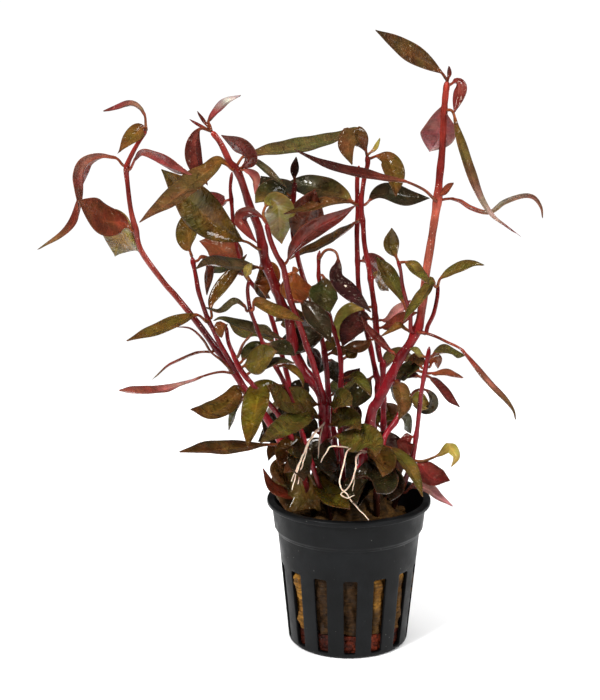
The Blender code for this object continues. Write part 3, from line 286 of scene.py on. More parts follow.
LEAVES = {
    "leaf_far_left_drooping": Leaf("far_left", Tint.RED_TO_GREY, 7, -3, (-72.2, 160.6, -75.3, 163.4,
        -80.1, 164.4, -84.9, 162.5, -87, 159, -87.7, 155.1, -88.6, 149, -90, 143.5, -93.7, 139.2,
        -101.7, 133.7), (-15, -25, -42, -52, -10, 20, 30, 30, 30), 3),
    "leaf_far_left_inner": Leaf("far_left", Tint.ROSY, 7.5, -38, (-72, 160.3, -68.6, 164, -66, 165.3,
        -61, 163.5, -56, 161, -51, 158), (-30, -28), 3, 0.6),
    "leaf_far_left_tip": Leaf("far_left", Tint.OLIVE, 6, -30, (-64.2, 171.4, -66.8, 173.3, -70.7, 169.8,
        -74.9, 164.7), 60, 2, 0.32),
    "leaf_far_left_red": Leaf("far_left", Tint.RED_BROWN, 11.5, -38, (-70.1, 140.5, -73.3, 142.8,
        -79.7, 144.4, -87.9, 149.9), 60, 3),
    "leaf_far_left_green": Leaf("far_left", Tint.LIGHT_OLIVE, 18, 11, (-69.1, 139.9, -72, 139.6, -75, 136.6,
        -76.5, 131.4), 80, 3, 0.34),
    "leaf_middle_top_right": Leaf("middle", Tint.WINE_TO_GREY, 5, -3, (-44.7, 171.8, -45.5, 175.5, -43, 179,
        -40, 181.8, -35, 183.4), 30, 3),
    "leaf_middle_top_hanging": Leaf("middle", Tint.WINE, 7, -13, (-44.7, 171.8, -48.5, 172.6, -50.8, 168,
        -50, 161, -46, 154.5), -50, 3),
    "leaf_middle_top_red": Leaf("middle", Tint.WINE, 7, -30, (-36.2, 159.5, -32.5, 163.5, -35.5, 168,
        -41.7, 170.8), -50),
    "leaf_middle_long_left": Leaf("middle", Tint.GREY_BROWN, 9, -46, (-37.6, 160.6, -42, 162.9, -46, 160.3,
        -52, 156, -58, 150.8, -63, 147, -68.5, 142.6), (50, 45), 3),
    "leaf_middle_long_right": Leaf("middle", Tint.GREY_OLIVE, 9, 30, (-37.2, 160.2, -34.3, 164.1,
        -30.2, 165.3, -25, 166.6, -15.1, 168.5, -5.2, 170.8, 0.8, 173, 3, 172.7), (30, 34), 4),
    "leaf_broad_brown": Leaf("middle", Tint.BROAD_BROWN, 13, -24, (-28.7, 134.3, -33, 136, -36.5, 137.5,
        -45, 143.5, -53, 152, -61, 160), (78, 72), 8),
    "leaf_shoot_far_left_top": Leaf("shoot_far_left", Tint.OLIVE, 8, 0, (-51.5, 131.4, -53, 136,
        -53.2, 142.2, -50.9, 148)),
    "leaf_middle_level_left": Leaf("middle", Tint.GREY_GREEN, 9, -35, (-27.6, 128.4, -34, 129.3, -40, 130,
        -46, 130, -50.5, 127.5), (25, 30), 4),
    "leaf_shoot_far_left_inner": Leaf("shoot_far_left", Tint.OLIVE, 4.9, -8, (-46.6, 111, -45.5, 116.5,
        -42, 122, -38, 127, -33.5, 132.5), 60, 3),
    "leaf_shoot_far_left_outer": Leaf("shoot_far_left", Tint.OLIVE, 8, -38, (-46.5, 110.5, -49.5, 112,
        -52.6, 112.2, -57, 110.8, -62, 108.5, -68, 105.8, -73.6, 103.5), (30, 35), 5),
    "leaf_left_front_right": Leaf("left_front", Tint.OLIVE, 7, -38, (-32.7, 114, -31.2, 117, -27, 115.5,
        -21, 112.5, -15, 110), (40, 35), 3),
    "leaf_middle_low_left": Leaf("middle", Tint.GREY_GREEN, 8, -5, (-19, 103.8, -24, 105.3, -30, 107.8,
        -36, 109.8, -42, 111.3, -45, 110.2), 25, 3),
    "leaf_left_low_long": Leaf("far_left", Tint.BROWN_TO_WINE, 8, -46, (-38.5, 93.5, -42, 93, -46, 92.3,
        -52, 90.3, -57, 89, -62, 87.8, -66, 87.6, -76.5, 86.8), (25, 20), 4, 0.74),
    "leaf_left_edge_on": Leaf("far_left", Tint.RED_TO_GREY, 1.6, -22, (-44, 101, -48, 99.8, -52, 99.2,
        -57, 97, -60.5, 95, -65.3, 90.3), 20, 3, slot=Slot.OLIVE),
    "leaf_left_low_broad": Leaf("far_left", Tint.OLIVE, 9, -30, (-34.3, 85.8, -36.6, 87.5, -38.9, 85.1,
        -42.6, 81.7, -47.3, 79.6, -52.9, 80.3), (55, 50), 3),
    "leaf_left_bright_green": Leaf("left_front", Tint.BRIGHT_GREEN, 9.5, -43, (-21.5, 89, -26, 89, -30, 87,
        -32, 80, -33, 73, -34, 66.9), 60, 3),
    "leaf_middle_low_glossy": Leaf("middle", Tint.GREEN, 10, -35, (-8.6, 82.5, -15, 84, -21, 84,
        -27.3, 88.5), 60, 3, slot=Slot.OLIVE),
    "leaf_middle_lowest": Leaf("middle", Tint.GREEN, 8.6, -56, (-8.3, 77.3, -13, 79.5, -18, 77, -23, 73.5,
        -30, 68.5), 60, 3, slot=Slot.OLIVE),
    "leaf_left_lowest": Leaf("far_left", Tint.BROWN, 9, -30, (-22.5, 69, -31, 68.2, -38, 68, -46, 67.5,
        -52, 66.5, -57, 65.5), (35, 30), 3, 0.58),
    "leaf_left_inner_green": Leaf("left_inner", Tint.GREEN, 10, -32, (-36.9, 93.6, -33.2, 96, -28.9, 98,
        -24, 100.1)),
    "leaf_shoot_middle_khaki": Leaf("shoot_middle", Tint.KHAKI, 10, 22, (-27.3, 142.3, -28.3, 145.5,
        -27, 148.7, -25, 149.7, -23, 146, -22.8, 140, -22.3, 135.5), 82, 10),
    "leaf_shoot_middle_red": Leaf("shoot_middle", Tint.WINE, 6.8, -40, (-22.2, 129, -18, 135, -12, 140.8,
        -4, 145, 2, 148.5), (-60, -55), 3),
    "leaf_middle_hanging": Leaf("middle", Tint.OLIVE_BROWN, 6, 14, (-27.4, 129, -28, 125, -28.5, 120.5,
        -26, 117.5), slot=Slot.WINE),
    "leaf_back_left": Leaf("back", Tint.NEAR_BLACK, 11, 35, (-18.5, 150.5, -23, 153.5, -29, 157.7), 55),
    "leaf_shoot_middle_dark": Leaf("shoot_middle", Tint.NEAR_BLACK, 8, -24, (-19, 116.8, -14.4, 115.8,
        -10.2, 110.8, -6.2, 102.8), 60, 3),
    "leaf_centre_loop": Leaf("centre", Tint.PURPLE, 6.5, -22, (-10.3, 131, -8.5, 133.2, -6.5, 133.8,
        -4.5, 132.5, -3.9, 129, -4.4, 126, -3, 123, 2, 118, 7, 113), 60, 11),
    "leaf_twin_left_brown": Leaf("twin_right", Tint.OLIVE_BROWN, 7, 0, (3.3, 148.3, -2.2, 149.9,
        -8.3, 149.9, -14.8, 147.7, -21.9, 145.4), 28, 3),
    "leaf_twin_right_top": Leaf("twin_right", Tint.OLIVE, 7.5, -5, (5.1, 163.1, 8.6, 164.1, 11.8, 163.4,
        14.1, 159, 14.5, 150.9), 60, 3, slot=Slot.GREEN),
    "leaf_tall_top": Leaf("tall_right", Tint.OLIVE_BROWN, 6.8, -35, (30.2, 187.8, 28.2, 190.5, 24, 193.8,
        18, 197.3, 12, 200.8, 7.2, 203.7), 60, 3),
    "leaf_tall_hanging_red": Leaf("tall_right", Tint.MAUVE, 11, 0, (29.6, 183, 29.6, 181, 28.3, 177,
        27.5, 171, 25, 165.5), -80, 2, 0.6),
    "leaf_tall_long_right": Leaf("tall_right", Tint.BROWN_TO_ROSE, 4.4, -43, (29.4, 178.5, 32, 178.3,
        33.5, 174, 36.5, 165, 38.5, 159.5, 40.5, 154, 43, 149, 46, 144.8, 50, 141.8, 55.2, 138), (50, 40),
        4, 0.36),
    "leaf_tall_wavy_right": Leaf("tall_right", Tint.RED_GREEN_BROWN, 6, -19, (27.9, 149.8, 31, 150.3,
        35, 150.1, 39, 148, 44.5, 147, 49, 150, 55, 151.8, 59, 151, 61.5, 147.5, 62, 143.8), (25, -30), 3),
    "leaf_tall_long_left": Leaf("tall_right", Tint.EMBER_TO_WINE, 6, -40, (27.7, 149.9, 23.5, 153.2,
        17, 156.1, 9.9, 157.7, 2.8, 159.3, -5.2, 160.9, -12.2, 163.4, -18.3, 166.3), (28, 34), 13),
    "leaf_tall_low_right": Leaf("tall_right", Tint.ROSE_TO_OLIVE, 5.5, -32, (21.9, 107, 25, 106, 28, 105,
        31.5, 103.3, 37.5, 100, 44.5, 92, 50, 86, 53, 82.5, 54.8, 79.5, 55.4, 76.4), (20, 22), 15, 0.55),
}

SMALL_LEAVES = (
    Leaf("far_left", Tint.GREY_TO_RED, 4, -3, (-65.3, 172.3, -65.8, 177, -67.3, 179.7, -71, 181,
         -79.2, 178.3), (28, 25), 2, 0.62),
    Leaf("middle", Tint.GREY_GREEN, 4, -3, (-36.5, 159.5, -31, 162.5, -27, 160, -20.5, 154), 35,
         slot=Slot.OLIVE),
    Leaf("middle", Tint.RED_BROWN, 4, -20, (-36, 159, -33.1, 159.3, -30.2, 156.7, -30.9, 151.6), -40),
    Leaf("middle", Tint.WINE, 1.3, -16, (-44.7, 171.8, -47.5, 176, -49.2, 178.5), 60, 1, slot=Slot.OLIVE),
    Leaf("shoot_middle", Tint.WINE, 5, -24, (-27.3, 142.5, -29.5, 145, -33.5, 146, -36, 143.5, -33.5, 139.5,
         -30.3, 135.8), -50),
    Leaf("shoot_far_left", Tint.RED_BROWN, 5, -8, (-51, 130, -48, 131.5, -45.5, 128, -46.8, 118.5), 35),
    Leaf("left_front", Tint.GREY_GREEN, 4, -32, (-32.7, 113.8, -34.5, 115.2, -37, 117.2, -39.5, 116.2,
         -42.5, 113.8, -47.5, 114.8), 28, slot=Slot.OLIVE),
    Leaf("left_front", Tint.KHAKI, 3, -24, (-33, 124, -34, 125.8, -32, 129.5), 60, 1, slot=Slot.OLIVE),
    Leaf("left_inner", Tint.BROWN, 5, -27, (-40.6, 108.5, -42.3, 109.3, -42.3, 104.5), 40, 1),
    Leaf("far_left", Tint.DARK_GREEN, 5, 0, (-33.5, 85.5, -37.5, 82, -39.5, 78, -40.2, 72.8), 28,
         slot=Slot.GREEN),
    Leaf("left_inner", Tint.DARK_GREEN, 6, -35, (-34.5, 91.5, -30, 94.5, -24, 97, -18, 96), 25),
    Leaf("left_front", Tint.DARK_GREEN, 6, -27, (-28, 102, -22.5, 101.5, -18, 98.5), 60, 1),
    Leaf("left_front", Tint.OLIVE, 4, -24, (-24.2, 94.5, -19.5, 95, -16, 91.5, -15.2, 87.5), 30),
    Leaf("left_back", Tint.NEAR_BLACK, 9, 3, (-15.5, 66, -20, 73, -25.5, 78, -28, 69)),
    Leaf("far_left", Tint.BRIGHT_RED, 5, -19, (-13, 51, -20, 51, -26, 54, -28.8, 59.9), 45),
    Leaf("far_left", Tint.BROWN, 8, -16, (-17, 58, -21, 57.8, -23.5, 61, -21.5, 64.3), 50, 1),
    Leaf("left_inner", Tint.BRIGHT_GREEN, 4, -30, (-14.5, 63, -17.5, 64.8, -21, 66), 45, 1),
    Leaf("left_inner", Tint.DRAPED, 21, -11, (-10.4, 60.6, -14.4, 57.1, -18.8, 50.8, -20.8, 44.1), 65, 1),
    Leaf("middle", Tint.BRIGHT_GREEN, 9.5, -34, (-7.2, 60, -8.5, 56, -4.5, 49.5, 0.5, 45.5), 55),
    Leaf("middle", Tint.GREEN, 10, -40, (-7.8, 70.5, -4, 71, 0, 70.6, 4, 70.5, 8, 68.5, 9, 63.8), (65, 70),
         8),
    Leaf("middle", Tint.GREEN, 8.5, -22, (-8.5, 81.8, -3.5, 83.5, 0.8, 81.5), 55),
    Leaf("back", Tint.DARK_WINE, 3, 16, (-18, 155.5, -18.3, 159, -17.6, 164), 60, 1, slot=Slot.DARK),
    Leaf("back", Tint.BLACK_TO_OLIVE, 9, 5, (-18.7, 151.2, -23.2, 153.2, -27.3, 151.9, -30.9, 149), 55),
    Leaf("shoot_middle", Tint.AMBER, 11, 3, (-21.6, 125.1, -19.3, 123.1, -16.4, 121.8, -11.8, 121.1), 60,
         1),
    Leaf("centre", Tint.DARK_GREEN, 9, -12, (-10.2, 125, -8.2, 122, -8.5, 118, -6.5, 112.8), 75),
    Leaf("centre", Tint.GREEN, 5, -16, (-2.8, 90.5, 1.5, 92, 4.5, 89.5, 7.2, 84.7), 45, slot=Slot.OLIVE),
    Leaf("twin_left", Tint.OLIVE_TO_BLACK, 8.5, 32, (2, 149.3, -3.2, 152.2, -10.3, 154.5, -16.7, 155.4,
         -22.8, 154.1), 55),
    Leaf("twin_right", Tint.OLIVE, 7, 30, (3.8, 143, -4, 139.5, -10, 136.3, -16, 133.5, -20, 130.5), 25, 3),
    Leaf("twin_right", Tint.BROWN, 7, -5, (5, 164.3, 3.8, 169, 1, 171, -1.5, 168, 0.3, 161), 60, 1,
         slot=Slot.WINE),
    Leaf("twin_right", Tint.KHAKI, 1.6, 5, (5, 164.3, 7.5, 166.5, 9.2, 170), 60, 1, slot=Slot.GREEN),
    Leaf("twin_right", Tint.NEAR_BLACK, 8, 19, (3.3, 148.5, 8, 151.8, 12, 152.8, 18, 151.5, 25.5, 150.5),
         48, 3),
    Leaf("twin_right", Tint.DARK_WINE, 7, -14, (8.5, 111.2, 4.6, 111.5, 0.3, 107.8, -2.6, 101.4), 75,
         slot=Slot.OLIVE),
    Leaf("twin_right", Tint.PALE_ROSE, 5, -3, (8.2, 110.1, 11.8, 110.8, 16, 114.2, 19.9, 117.2), 45),
    Leaf("tall_right", Tint.WINE, 4.6, -22, (30.1, 185.8, 33.3, 187.8, 34.7, 186, 34, 182, 32.6, 177.5),
         -55),
    Leaf("tall_right", Tint.WINE, 1.6, -16, (30.2, 187.5, 30.8, 190, 30.6, 192.6), 60, 1, slot=Slot.OLIVE),
    Leaf("tall_right", Tint.RED_BROWN, 3, -19, (28, 150.8, 30, 153, 33, 155.6), 50, 1),
    Leaf("tall_right", Tint.OLIVE, 3.5, -16, (21.3, 106, 16.5, 109, 13, 107, 10, 105), 30),
    Leaf("tall_right", Tint.WINE, 5, -15, (16.6, 97.8, 11, 103, 6, 108, 3.5, 112), 30),
    Leaf("shoot_right_inner", Tint.GREEN, 6, -18, (15.6, 129.5, 13.6, 135, 13.3, 141), 55, slot=Slot.DARK),
    Leaf("shoot_right_inner", Tint.GREEN, 6, -3, (19.6, 112.2, 17.6, 115.8, 15.6, 120.1, 12.6, 126.1,
         8.3, 131.7), 55, 3, 0.6),
    Leaf("shoot_right_inner", Tint.GREEN, 6, -30, (15.7, 129.3, 20, 129.5, 22.5, 126.5, 25.8, 122.3), 35,
         slot=Slot.OLIVE),
    Leaf("shoot_right_outer", Tint.GREEN, 6, -30, (28.6, 121.8, 27, 124, 25.6, 122.8, 21, 116, 17.3, 109.8),
         35, slot=Slot.OLIVE),
    Leaf("shoot_right_outer", Tint.GREEN, 6, -19, (28.6, 122.1, 29.2, 124.1, 31.4, 126.4, 35, 128.4,
         39.8, 129.4, 43.7, 128.7), 32, slot=Slot.OLIVE),
    Leaf("far_right", Tint.GREEN, 6, 3, (25.7, 98, 28.5, 99.8, 32, 100.8, 35, 99.8, 38.2, 98.5), 30, 3),
    Leaf("far_right", Tint.PALE_GREEN, 3, -14, (25.7, 98, 22, 100.3, 19.5, 101), 50, 1),
    Leaf("far_right", Tint.RED_BROWN, 5, -22, (24.8, 93, 31, 93.3, 34, 92.5, 37.7, 91), 25),
    Leaf("far_right", Tint.WINE, 6, -5, (24.5, 91.5, 29, 89.5, 32, 86.5, 35, 83, 36.8, 80.8), 30),
    Leaf("far_right", Tint.WINE, 5, 3, (24.2, 90.9, 21.3, 91.9, 17.3, 92.3, 13.7, 88.2), 40),
    Leaf("low_right", Tint.DARK_GREEN, 3.4, 3, (18.1, 83.4, 21.7, 86.5, 25.3, 86.8, 27.7, 84.1, 27.7, 81,
         24.8, 79.6, 20.8, 81.7), 60, 9, slot=Slot.GREEN),
    Leaf("tall_right", Tint.BROWN, 7, -27, (13, 91.3, 17, 88.2, 18.1, 82.7, 16.5, 76.5), 50),
    Leaf("far_right", Tint.WINE, 9, -16, (20.8, 61.5, 24.5, 61, 29, 57, 34, 55.5), 50),
    Leaf("far_right", Tint.PALE_ROSE, 5, -14, (17.5, 52, 22, 54.2, 27, 53, 30.5, 50, 35.3, 46.3), 40, 3,
         slot=Slot.WINE),
    Leaf("low_right", Tint.GREEN, 6, -28, (10.8, 67.5, 16.3, 65.6, 20.5, 61, 22.8, 56, 25, 49.6), 45),
    Leaf("far_right", Tint.WINE, 7, -9, (22.3, 71, 19, 70, 18.8, 67, 20.8, 64), 55, 1),
    Leaf("far_right", Tint.YELLOW, 4, -12, (21.2, 63, 25.5, 62.5, 30, 64.5, 33.5, 67.3, 36, 64, 34.2, 60),
         50, 8),
    Leaf("tall_right", Tint.NEAR_BLACK, 13, -38, (4.5, 60.5, 7.5, 60.5, 10.5, 56, 9.5, 51)),
    Leaf("left_back", Tint.DARK_GREEN, 8, 42, (-34, 126, -38, 128, -43, 129, -47, 128), 40,
         slot=Slot.OLIVE),
    Leaf("left_back", Tint.WINE, 9, 46, (-38.4, 150, -43, 149, -49, 151, -54, 153), 50, 3),
    Leaf("left_back", Tint.OLIVE, 8, 38, (-17.5, 78, -21, 80, -25, 79, -29, 74), 50),
    Leaf("left_back", Tint.GREEN, 8, 42, (-24, 104, -29, 106.5, -35, 108, -40, 110), 40, slot=Slot.OLIVE),
    Leaf("twin_left", Tint.OLIVE, 9, 42, (4.9, 109, 1, 110, -2, 107, -4, 103)),
    Leaf("twin_left", Tint.WINE, 8, 44, (2.3, 130, 6, 130, 10, 127, 13, 121), 50),
    # Painted shade: an olive leaf deep in the plant, tinted near-black for the shadow it sits in.
    Leaf("twin_left", Tint.NEAR_BLACK, 4.6, 38, (9.1, 87.8, 13.7, 88.5, 16.7, 84.8, 18.5, 78.9),
         slot=Slot.OLIVE),
    Leaf("twin_right", Tint.OLIVE, 5, 30, (6.4, 124.1, 8.7, 124.8, 11, 122.5, 12.6, 120.1), 50),
    Leaf("twin_right", Tint.OLIVE, 7, 32, (10.5, 95, 14, 98, 18, 99, 22, 97), 45, slot=Slot.DARK),
    Leaf("back", Tint.GREEN, 8, 36, (-7, 85, -3, 88, 1, 90, 5, 90), 50),
    Leaf("back", Tint.OLIVE, 8, 34, (-5, 71, -1, 73, 4, 72, 9, 68), 50),
)

HEART_LEAVES = (
    Leaf("left_back", Tint.NEAR_BLACK, 9, 10, (-16, 68, -20, 71.5, -25.5, 72.5, -30.5, 69)),
    Leaf("middle", Tint.NEAR_BLACK, 9, -10, (-8, 72.5, -12, 74.5, -18, 74, -24, 70.5), 60, 3),
    Leaf("back", Tint.NEAR_BLACK, 9, 8, (-5, 66, -8.5, 67.5, -12, 65.5, -14.5, 60.5), slot=Slot.OLIVE),
    Leaf("centre", Tint.DARK_WINE, 7, 12, (-3.6, 72, -1, 75, 1, 79, 1.5, 83)),
    Leaf("twin_left", Tint.NEAR_BLACK, 9, 8, (4.5, 62, 1.5, 64.5, -2.5, 63.5, -5.5, 59.5), 65),
    Leaf("tall_right", Tint.DARK_GREEN, 9, -20, (4.5, 57, 8, 59.5, 12.5, 57.5, 15, 52.5), 65),
    Leaf("low_right", Tint.DARK_WINE, 8, -2, (10.5, 62, 13.5, 65.5, 17, 66, 20.5, 62.5)),
    Leaf("left_front", Tint.BROWN, 7, -12, (-11.5, 60, -15, 62.5, -19, 61.5, -22, 58), 60, 1),
    Leaf("twin_right", Tint.BRIGHT_GREEN, 5, 8, (6.5, 75, 9.5, 78, 13, 78.5, 16.5, 76.5)),
    Leaf("left_back", Tint.RED_BROWN, 10, 30, (-35.9, 127.7, -39.1, 132.7, -43.6, 136, -49.1, 136.6),
         slot=Slot.KHAKI),
    Leaf("middle", Tint.AMBER, 12, 4, (-22.3, 121.1, -24.5, 122.5, -27.5, 123.5, -31.1, 122.8), 85),
    Leaf("centre", Tint.NEAR_BLACK, 9, 2, (-15.4, 104.4, -18.7, 103.4, -22.3, 101.8, -25.9, 100.1)),
    Leaf("centre", Tint.DARK_WINE, 8, 14, (-9.2, 111.2, -12.1, 109.8, -15.4, 106.5, -16.7, 102.1)),
    Leaf("back", Tint.BROWN, 8, 22, (-14.8, 105.5, -18.4, 110.8, -22, 112.5, -24.6, 109.8)),
    Leaf("twin_right", Tint.BROWN, 4.5, -2, (8.6, 104.1, 4.6, 102.4, 1, 101.4, -2.6, 101.1)),
    Leaf("twin_right", Tint.RED_BROWN, 5, -12, (8.2, 107.8, 12.1, 108.8, 17, 111.2, 22.2, 113.2), 50),
    Leaf("twin_left", Tint.DARK_GREEN, 8, 6, (5.1, 89.6, 3.8, 86.8, 2.2, 83.7, 0.5, 80)),
    Leaf("far_right", Tint.RED_BROWN, 4, -6, (25.2, 95, 27.1, 97.4, 29.4, 96.7, 29.1, 94), 50),
    Leaf("far_right", Tint.BROWN, 5, -2, (25.2, 94.3, 22.8, 96.7, 20.5, 97.4, 18.6, 95.7), 50),
    Leaf("low_right", Tint.YELLOW, 6, 2, (18.1, 83.4, 20.7, 83.7, 23.7, 83.1, 27.1, 80.7), 65),
    Leaf("tall_right", Tint.DARK_WINE, 10, -8, (11.3, 70.3, 14, 67.2, 16.4, 62.3, 17.1, 56.4)),
    Leaf("left_back", Tint.BROWN, 6, 4, (-17.4, 66.2, -21.4, 67.9, -25.4, 66.5, -27.1, 62.3)),
    Leaf("twin_left", Tint.NEAR_BLACK, 13, -34, (4.4, 60.6, 1.7, 57.8, 1.1, 53.2, 2.8, 47.6), 65),
    Leaf("centre", Tint.DRAPED, 11, -3, (-4, 60.6, -6.7, 57.8, -9.7, 52.2, -10.7, 46.2), 65),
    Leaf("far_right", Tint.DARK_GREEN, 9, -6, (18.5, 55, 15.4, 57.1, 11.8, 54.3, 10.2, 48.7),
         slot=Slot.OLIVE),
    Leaf("middle", Tint.WINE, 1.3, -10, (-44.8, 172, -47.3, 173.3, -51.7, 175.8), 50, 1),
    Leaf("back", Tint.RED_BROWN, 11, 2, (-16.1, 134.6, -15.4, 139.6, -13.8, 146.1, -11.6, 153.5), 80,
         slot=Slot.OLIVE),
    Leaf("twin_right", Tint.KHAKI, 6, 3, (5.8, 114.8, 0.9, 114.5, -3, 109.8, -4.6, 101.8)),
    Leaf("left_front", Tint.NEAR_BLACK, 9, -33, (-12.4, 71, -15.4, 66.2, -16.4, 61.3, -15.1, 55.3)),
    Leaf("low_right", Tint.DARK_GREEN, 5, 0, (15.5, 75.5, 17.2, 77.9, 19.5, 76.2, 20.6, 71.7), 45),
    Leaf("tall_right", Tint.NEAR_BLACK, 11, -30, (7.7, 59.2, 11.4, 57.8, 13.8, 53.6, 14.2, 48.3), 65),
    Leaf("far_left", Tint.GREY_TO_RED, 0.9, -34, (-38.8, 93.6, -42.1, 96.7, -45.7, 99.7, -48.3, 104.1,
         -52.5, 107.8, -58.7, 108.1), 40, 8),
    Leaf("left_inner", Tint.BROWN, 0.9, -28, (-37.2, 98, -35.1, 102.4, -31.5, 106.8), 40, 8),
    Leaf("middle", Tint.GREEN, 8, -24, (-8.1, 74.8, -4.1, 77.2, 0.2, 76.9, 3.9, 73.1)),
    Leaf("left_front", Tint.OLIVE, 9, -28, (-13.4, 64.4, -16.7, 66.9, -20.7, 65.8, -23.4, 60.6)),
    Leaf("tall_right", Tint.OLIVE, 9, -30, (6.3, 69.6, 9.6, 67.2, 11.7, 62.7, 11.4, 56.7)),
    Leaf("twin_right", Tint.BROWN, 8, 8, (9.1, 85.1, 11.8, 82.7, 13.2, 78.6, 12.2, 73.1), 75,
         slot=Slot.DARK),
    Leaf("tall_right", Tint.NEAR_BLACK, 11, -27, (7.7, 61.3, 5, 57.8, 3.1, 52.5, 3.1, 46.2), 65),
    Leaf("middle", Tint.NEAR_BLACK, 9, -20, (-6.1, 69.3, -7.4, 65.8, -7.7, 61.6, -6.3, 57.1), 65),
    Leaf("far_right", Tint.DARK_GREEN, 7, -3, (24.2, 93, 21.2, 94, 17.6, 93.3, 14.7, 90.9), 50),
    Leaf("back", Tint.NEAR_BLACK, 5, 12, (-8.2, 98, -9.5, 97, -10.5, 94.7, -10.8, 91.9), 60, 1),
    Leaf("back", Tint.BROWN, 4.2, 12, (-8.2, 98, -5.5, 99.7, -2.6, 100.4, 1, 100.7), 50),
    Leaf("back", Tint.NEAR_BLACK, 5.5, 14, (-7.8, 97, -5.8, 95, -3.8, 91.9, -2.8, 88.2), 60, 1),
    Leaf("back", Tint.OLIVE, 4.5, 16, (-8.2, 99.1, -7.2, 101.1, -6.5, 103.1, -5.6, 105.1), 60, 1),
    Leaf("centre", Tint.OLIVE, 4, 0, (-3.2, 97, -1.2, 98, 0.7, 99.4, 2.7, 100.7)),
    Leaf("centre", Tint.DARK_WINE, 5, 4, (-2.8, 88.9, -0.9, 90.6, 1.1, 92.3, 3.4, 94.3), slot=Slot.DARK),
    Leaf("shoot_middle", Tint.DARK_WINE, 5.5, 2, (-14.1, 101.8, -12.8, 99.4, -11.1, 96.3, -10.1, 92.6), 65,
         1),
    Leaf("middle", Tint.NEAR_BLACK, 7, -4, (-14.4, 91.6, -15.7, 88.9, -17.4, 86.5, -19.7, 84.8), 60, 1),
    Leaf("left_inner", Tint.DARK_GREEN, 5, -10, (-36.2, 96.3, -33.8, 99.4, -30.9, 101.8, -26.9, 102.8),
         slot=Slot.OLIVE),
)

ROOTS = {
    "roots_left": Roots("stem_middle", (-8.1, 75.8), (
        (-12, (-9.7, 71, -10.4, 63.4)),
        (-34, (-12.7, 70.7, -15.1, 65.1, -17.4, 58.5, -19.1, 52.2)),
        (-30, (-13.1, 69.6, -14.7, 64.1, -16.4, 58.5, -17.1, 54.3)),
        (-32, (-12.1, 71, -15.4, 64.4, -17.7, 59.2, -19.4, 55.3)),
    )),
    "roots_right": Roots("stem_tall_right", (4.6, 66.9), (
        (-31, (0.3, 66.5, -1.7, 62, -3, 54.6, -0.9, 50.8, 3.1, 45.8, 6.9, 41.6)),
        (-23, (-4.7, 67.5, -7.4, 65.5, -9.4, 61.6)),
        (-25, (3, 64.4, 2, 58.5, 1.4, 51.8)),
        (-29, (2.7, 64.1, 2, 58.5, 0.1, 53.2, -2.6, 50.8, -0.3, 49.4, 1.8, 50.4)),
    )),
}


@dataclass
class Surface:
    """A closed skin in millimetres, with what its material reads from it.

    Attributes:
        points: one row for each vertex.
        quads: four vertex numbers for each face, counter-clockwise from outside.
        triangles: three vertex numbers for each face.
        tint: a colour for each vertex.
        guide: two numbers for each vertex that become its UV map.
        upper: 1 on a leaf's upper side and 0 on its lower one.
    """

    points: Array
    quads: Array
    triangles: Array
    tint: Optional[Array] = None
    guide: Optional[Array] = None
    upper: Optional[Array] = None


def pairs(numbers: Numbers) -> Line:
    """Numbers that stand for points, two by two."""
    return tuple(zip(numbers[::2], numbers[1::2]))


def unit(vectors: Array) -> Array:
    """The vectors, each at length one."""
    return vectors / np.linalg.norm(vectors, axis=-1, keepdims=True)


def without(vectors: Array, directions: Array) -> Array:
    """What is left of the vectors across the directions."""
    return vectors - np.sum(vectors * directions, axis=-1, keepdims=True) * directions


def step_up(values: Array, low: float, high: float) -> Array:
    """A smooth step from 0 at low to 1 at high."""
    share = np.clip((np.asarray(values) - low) / (high - low), 0, 1)
    return share * share * (3 - 2 * share)


def spread(values: Array, places: Array) -> Array:
    """Values that are spread evenly from 0 to 1, read at the places."""
    return np.interp(places, np.linspace(0, 1, len(values)), values)


def spread_colours(colours: tuple[Colour, ...], places: Array) -> Array:
    """Colours that are spread evenly from 0 to 1, read at the places."""
    return np.column_stack([spread(channel, places) for channel in np.array(colours).T])


def circle(count: int) -> Array:
    """The angles of this many even steps round a circle."""
    return np.linspace(0, 2 * math.pi, count, endpoint=False)


def towards(colours: Array, goal: Array, share: Array) -> Array:
    """Colours carried this share of the way to a goal."""
    return colours + (np.array(goal) - colours) * share[..., None]


def lengths_along(line: Array) -> Array:
    """The distance of each point of a line from its start, along the line."""
    return np.concatenate(((0,), np.cumsum(np.linalg.norm(np.diff(line, axis=0), axis=1))))


def shares_along(points: Line) -> Array:
    """How far along a line each of its points is, from 0 to 1."""
    lengths = lengths_along(np.array(points))
    return lengths / lengths[-1]


def at(line: Array, places: Array) -> Array:
    """The points of a line at these fractions of its length."""
    along = lengths_along(line)
    wanted = np.asarray(places) * along[-1]
    return np.column_stack([np.interp(wanted, along, column) for column in line.T])


def smooth(points: Array) -> Array:
    """A Catmull-Rom curve through the points, as many closely spaced ones."""
    points = np.asarray(points, float)
    ends = np.vstack((2 * points[0] - points[1], points, 2 * points[-1] - points[-2]))
    step = np.linspace(0, 1, SAMPLES_PER_SPAN, endpoint=False)[:, None]
    spans = []
    for a, b, c, d in zip(ends, ends[1:], ends[2:], ends[3:]):
        bend = (2 * a - 5 * b + 4 * c - d) * step ** 2 + (3 * b - a - 3 * c + d) * step ** 3
        spans.append(b + 0.5 * ((c - a) * step + bend))
    return np.vstack(spans + [points[-1:]])


def stand(across: float, depth: float, height: float) -> Array:
    """The point at a depth that the eye sees at (across, height) on the middle plane."""
    seen = np.array((across, 0.0, height))
    return EYE + (seen - EYE) * (1 - depth / EYE[1])


def stand_all(seen: Line, depths: Array) -> list[Array]:
    """The points that the eye sees here, each at its own depth."""
    return [stand(across, depth, height) for (across, height), depth in zip(seen, depths)]


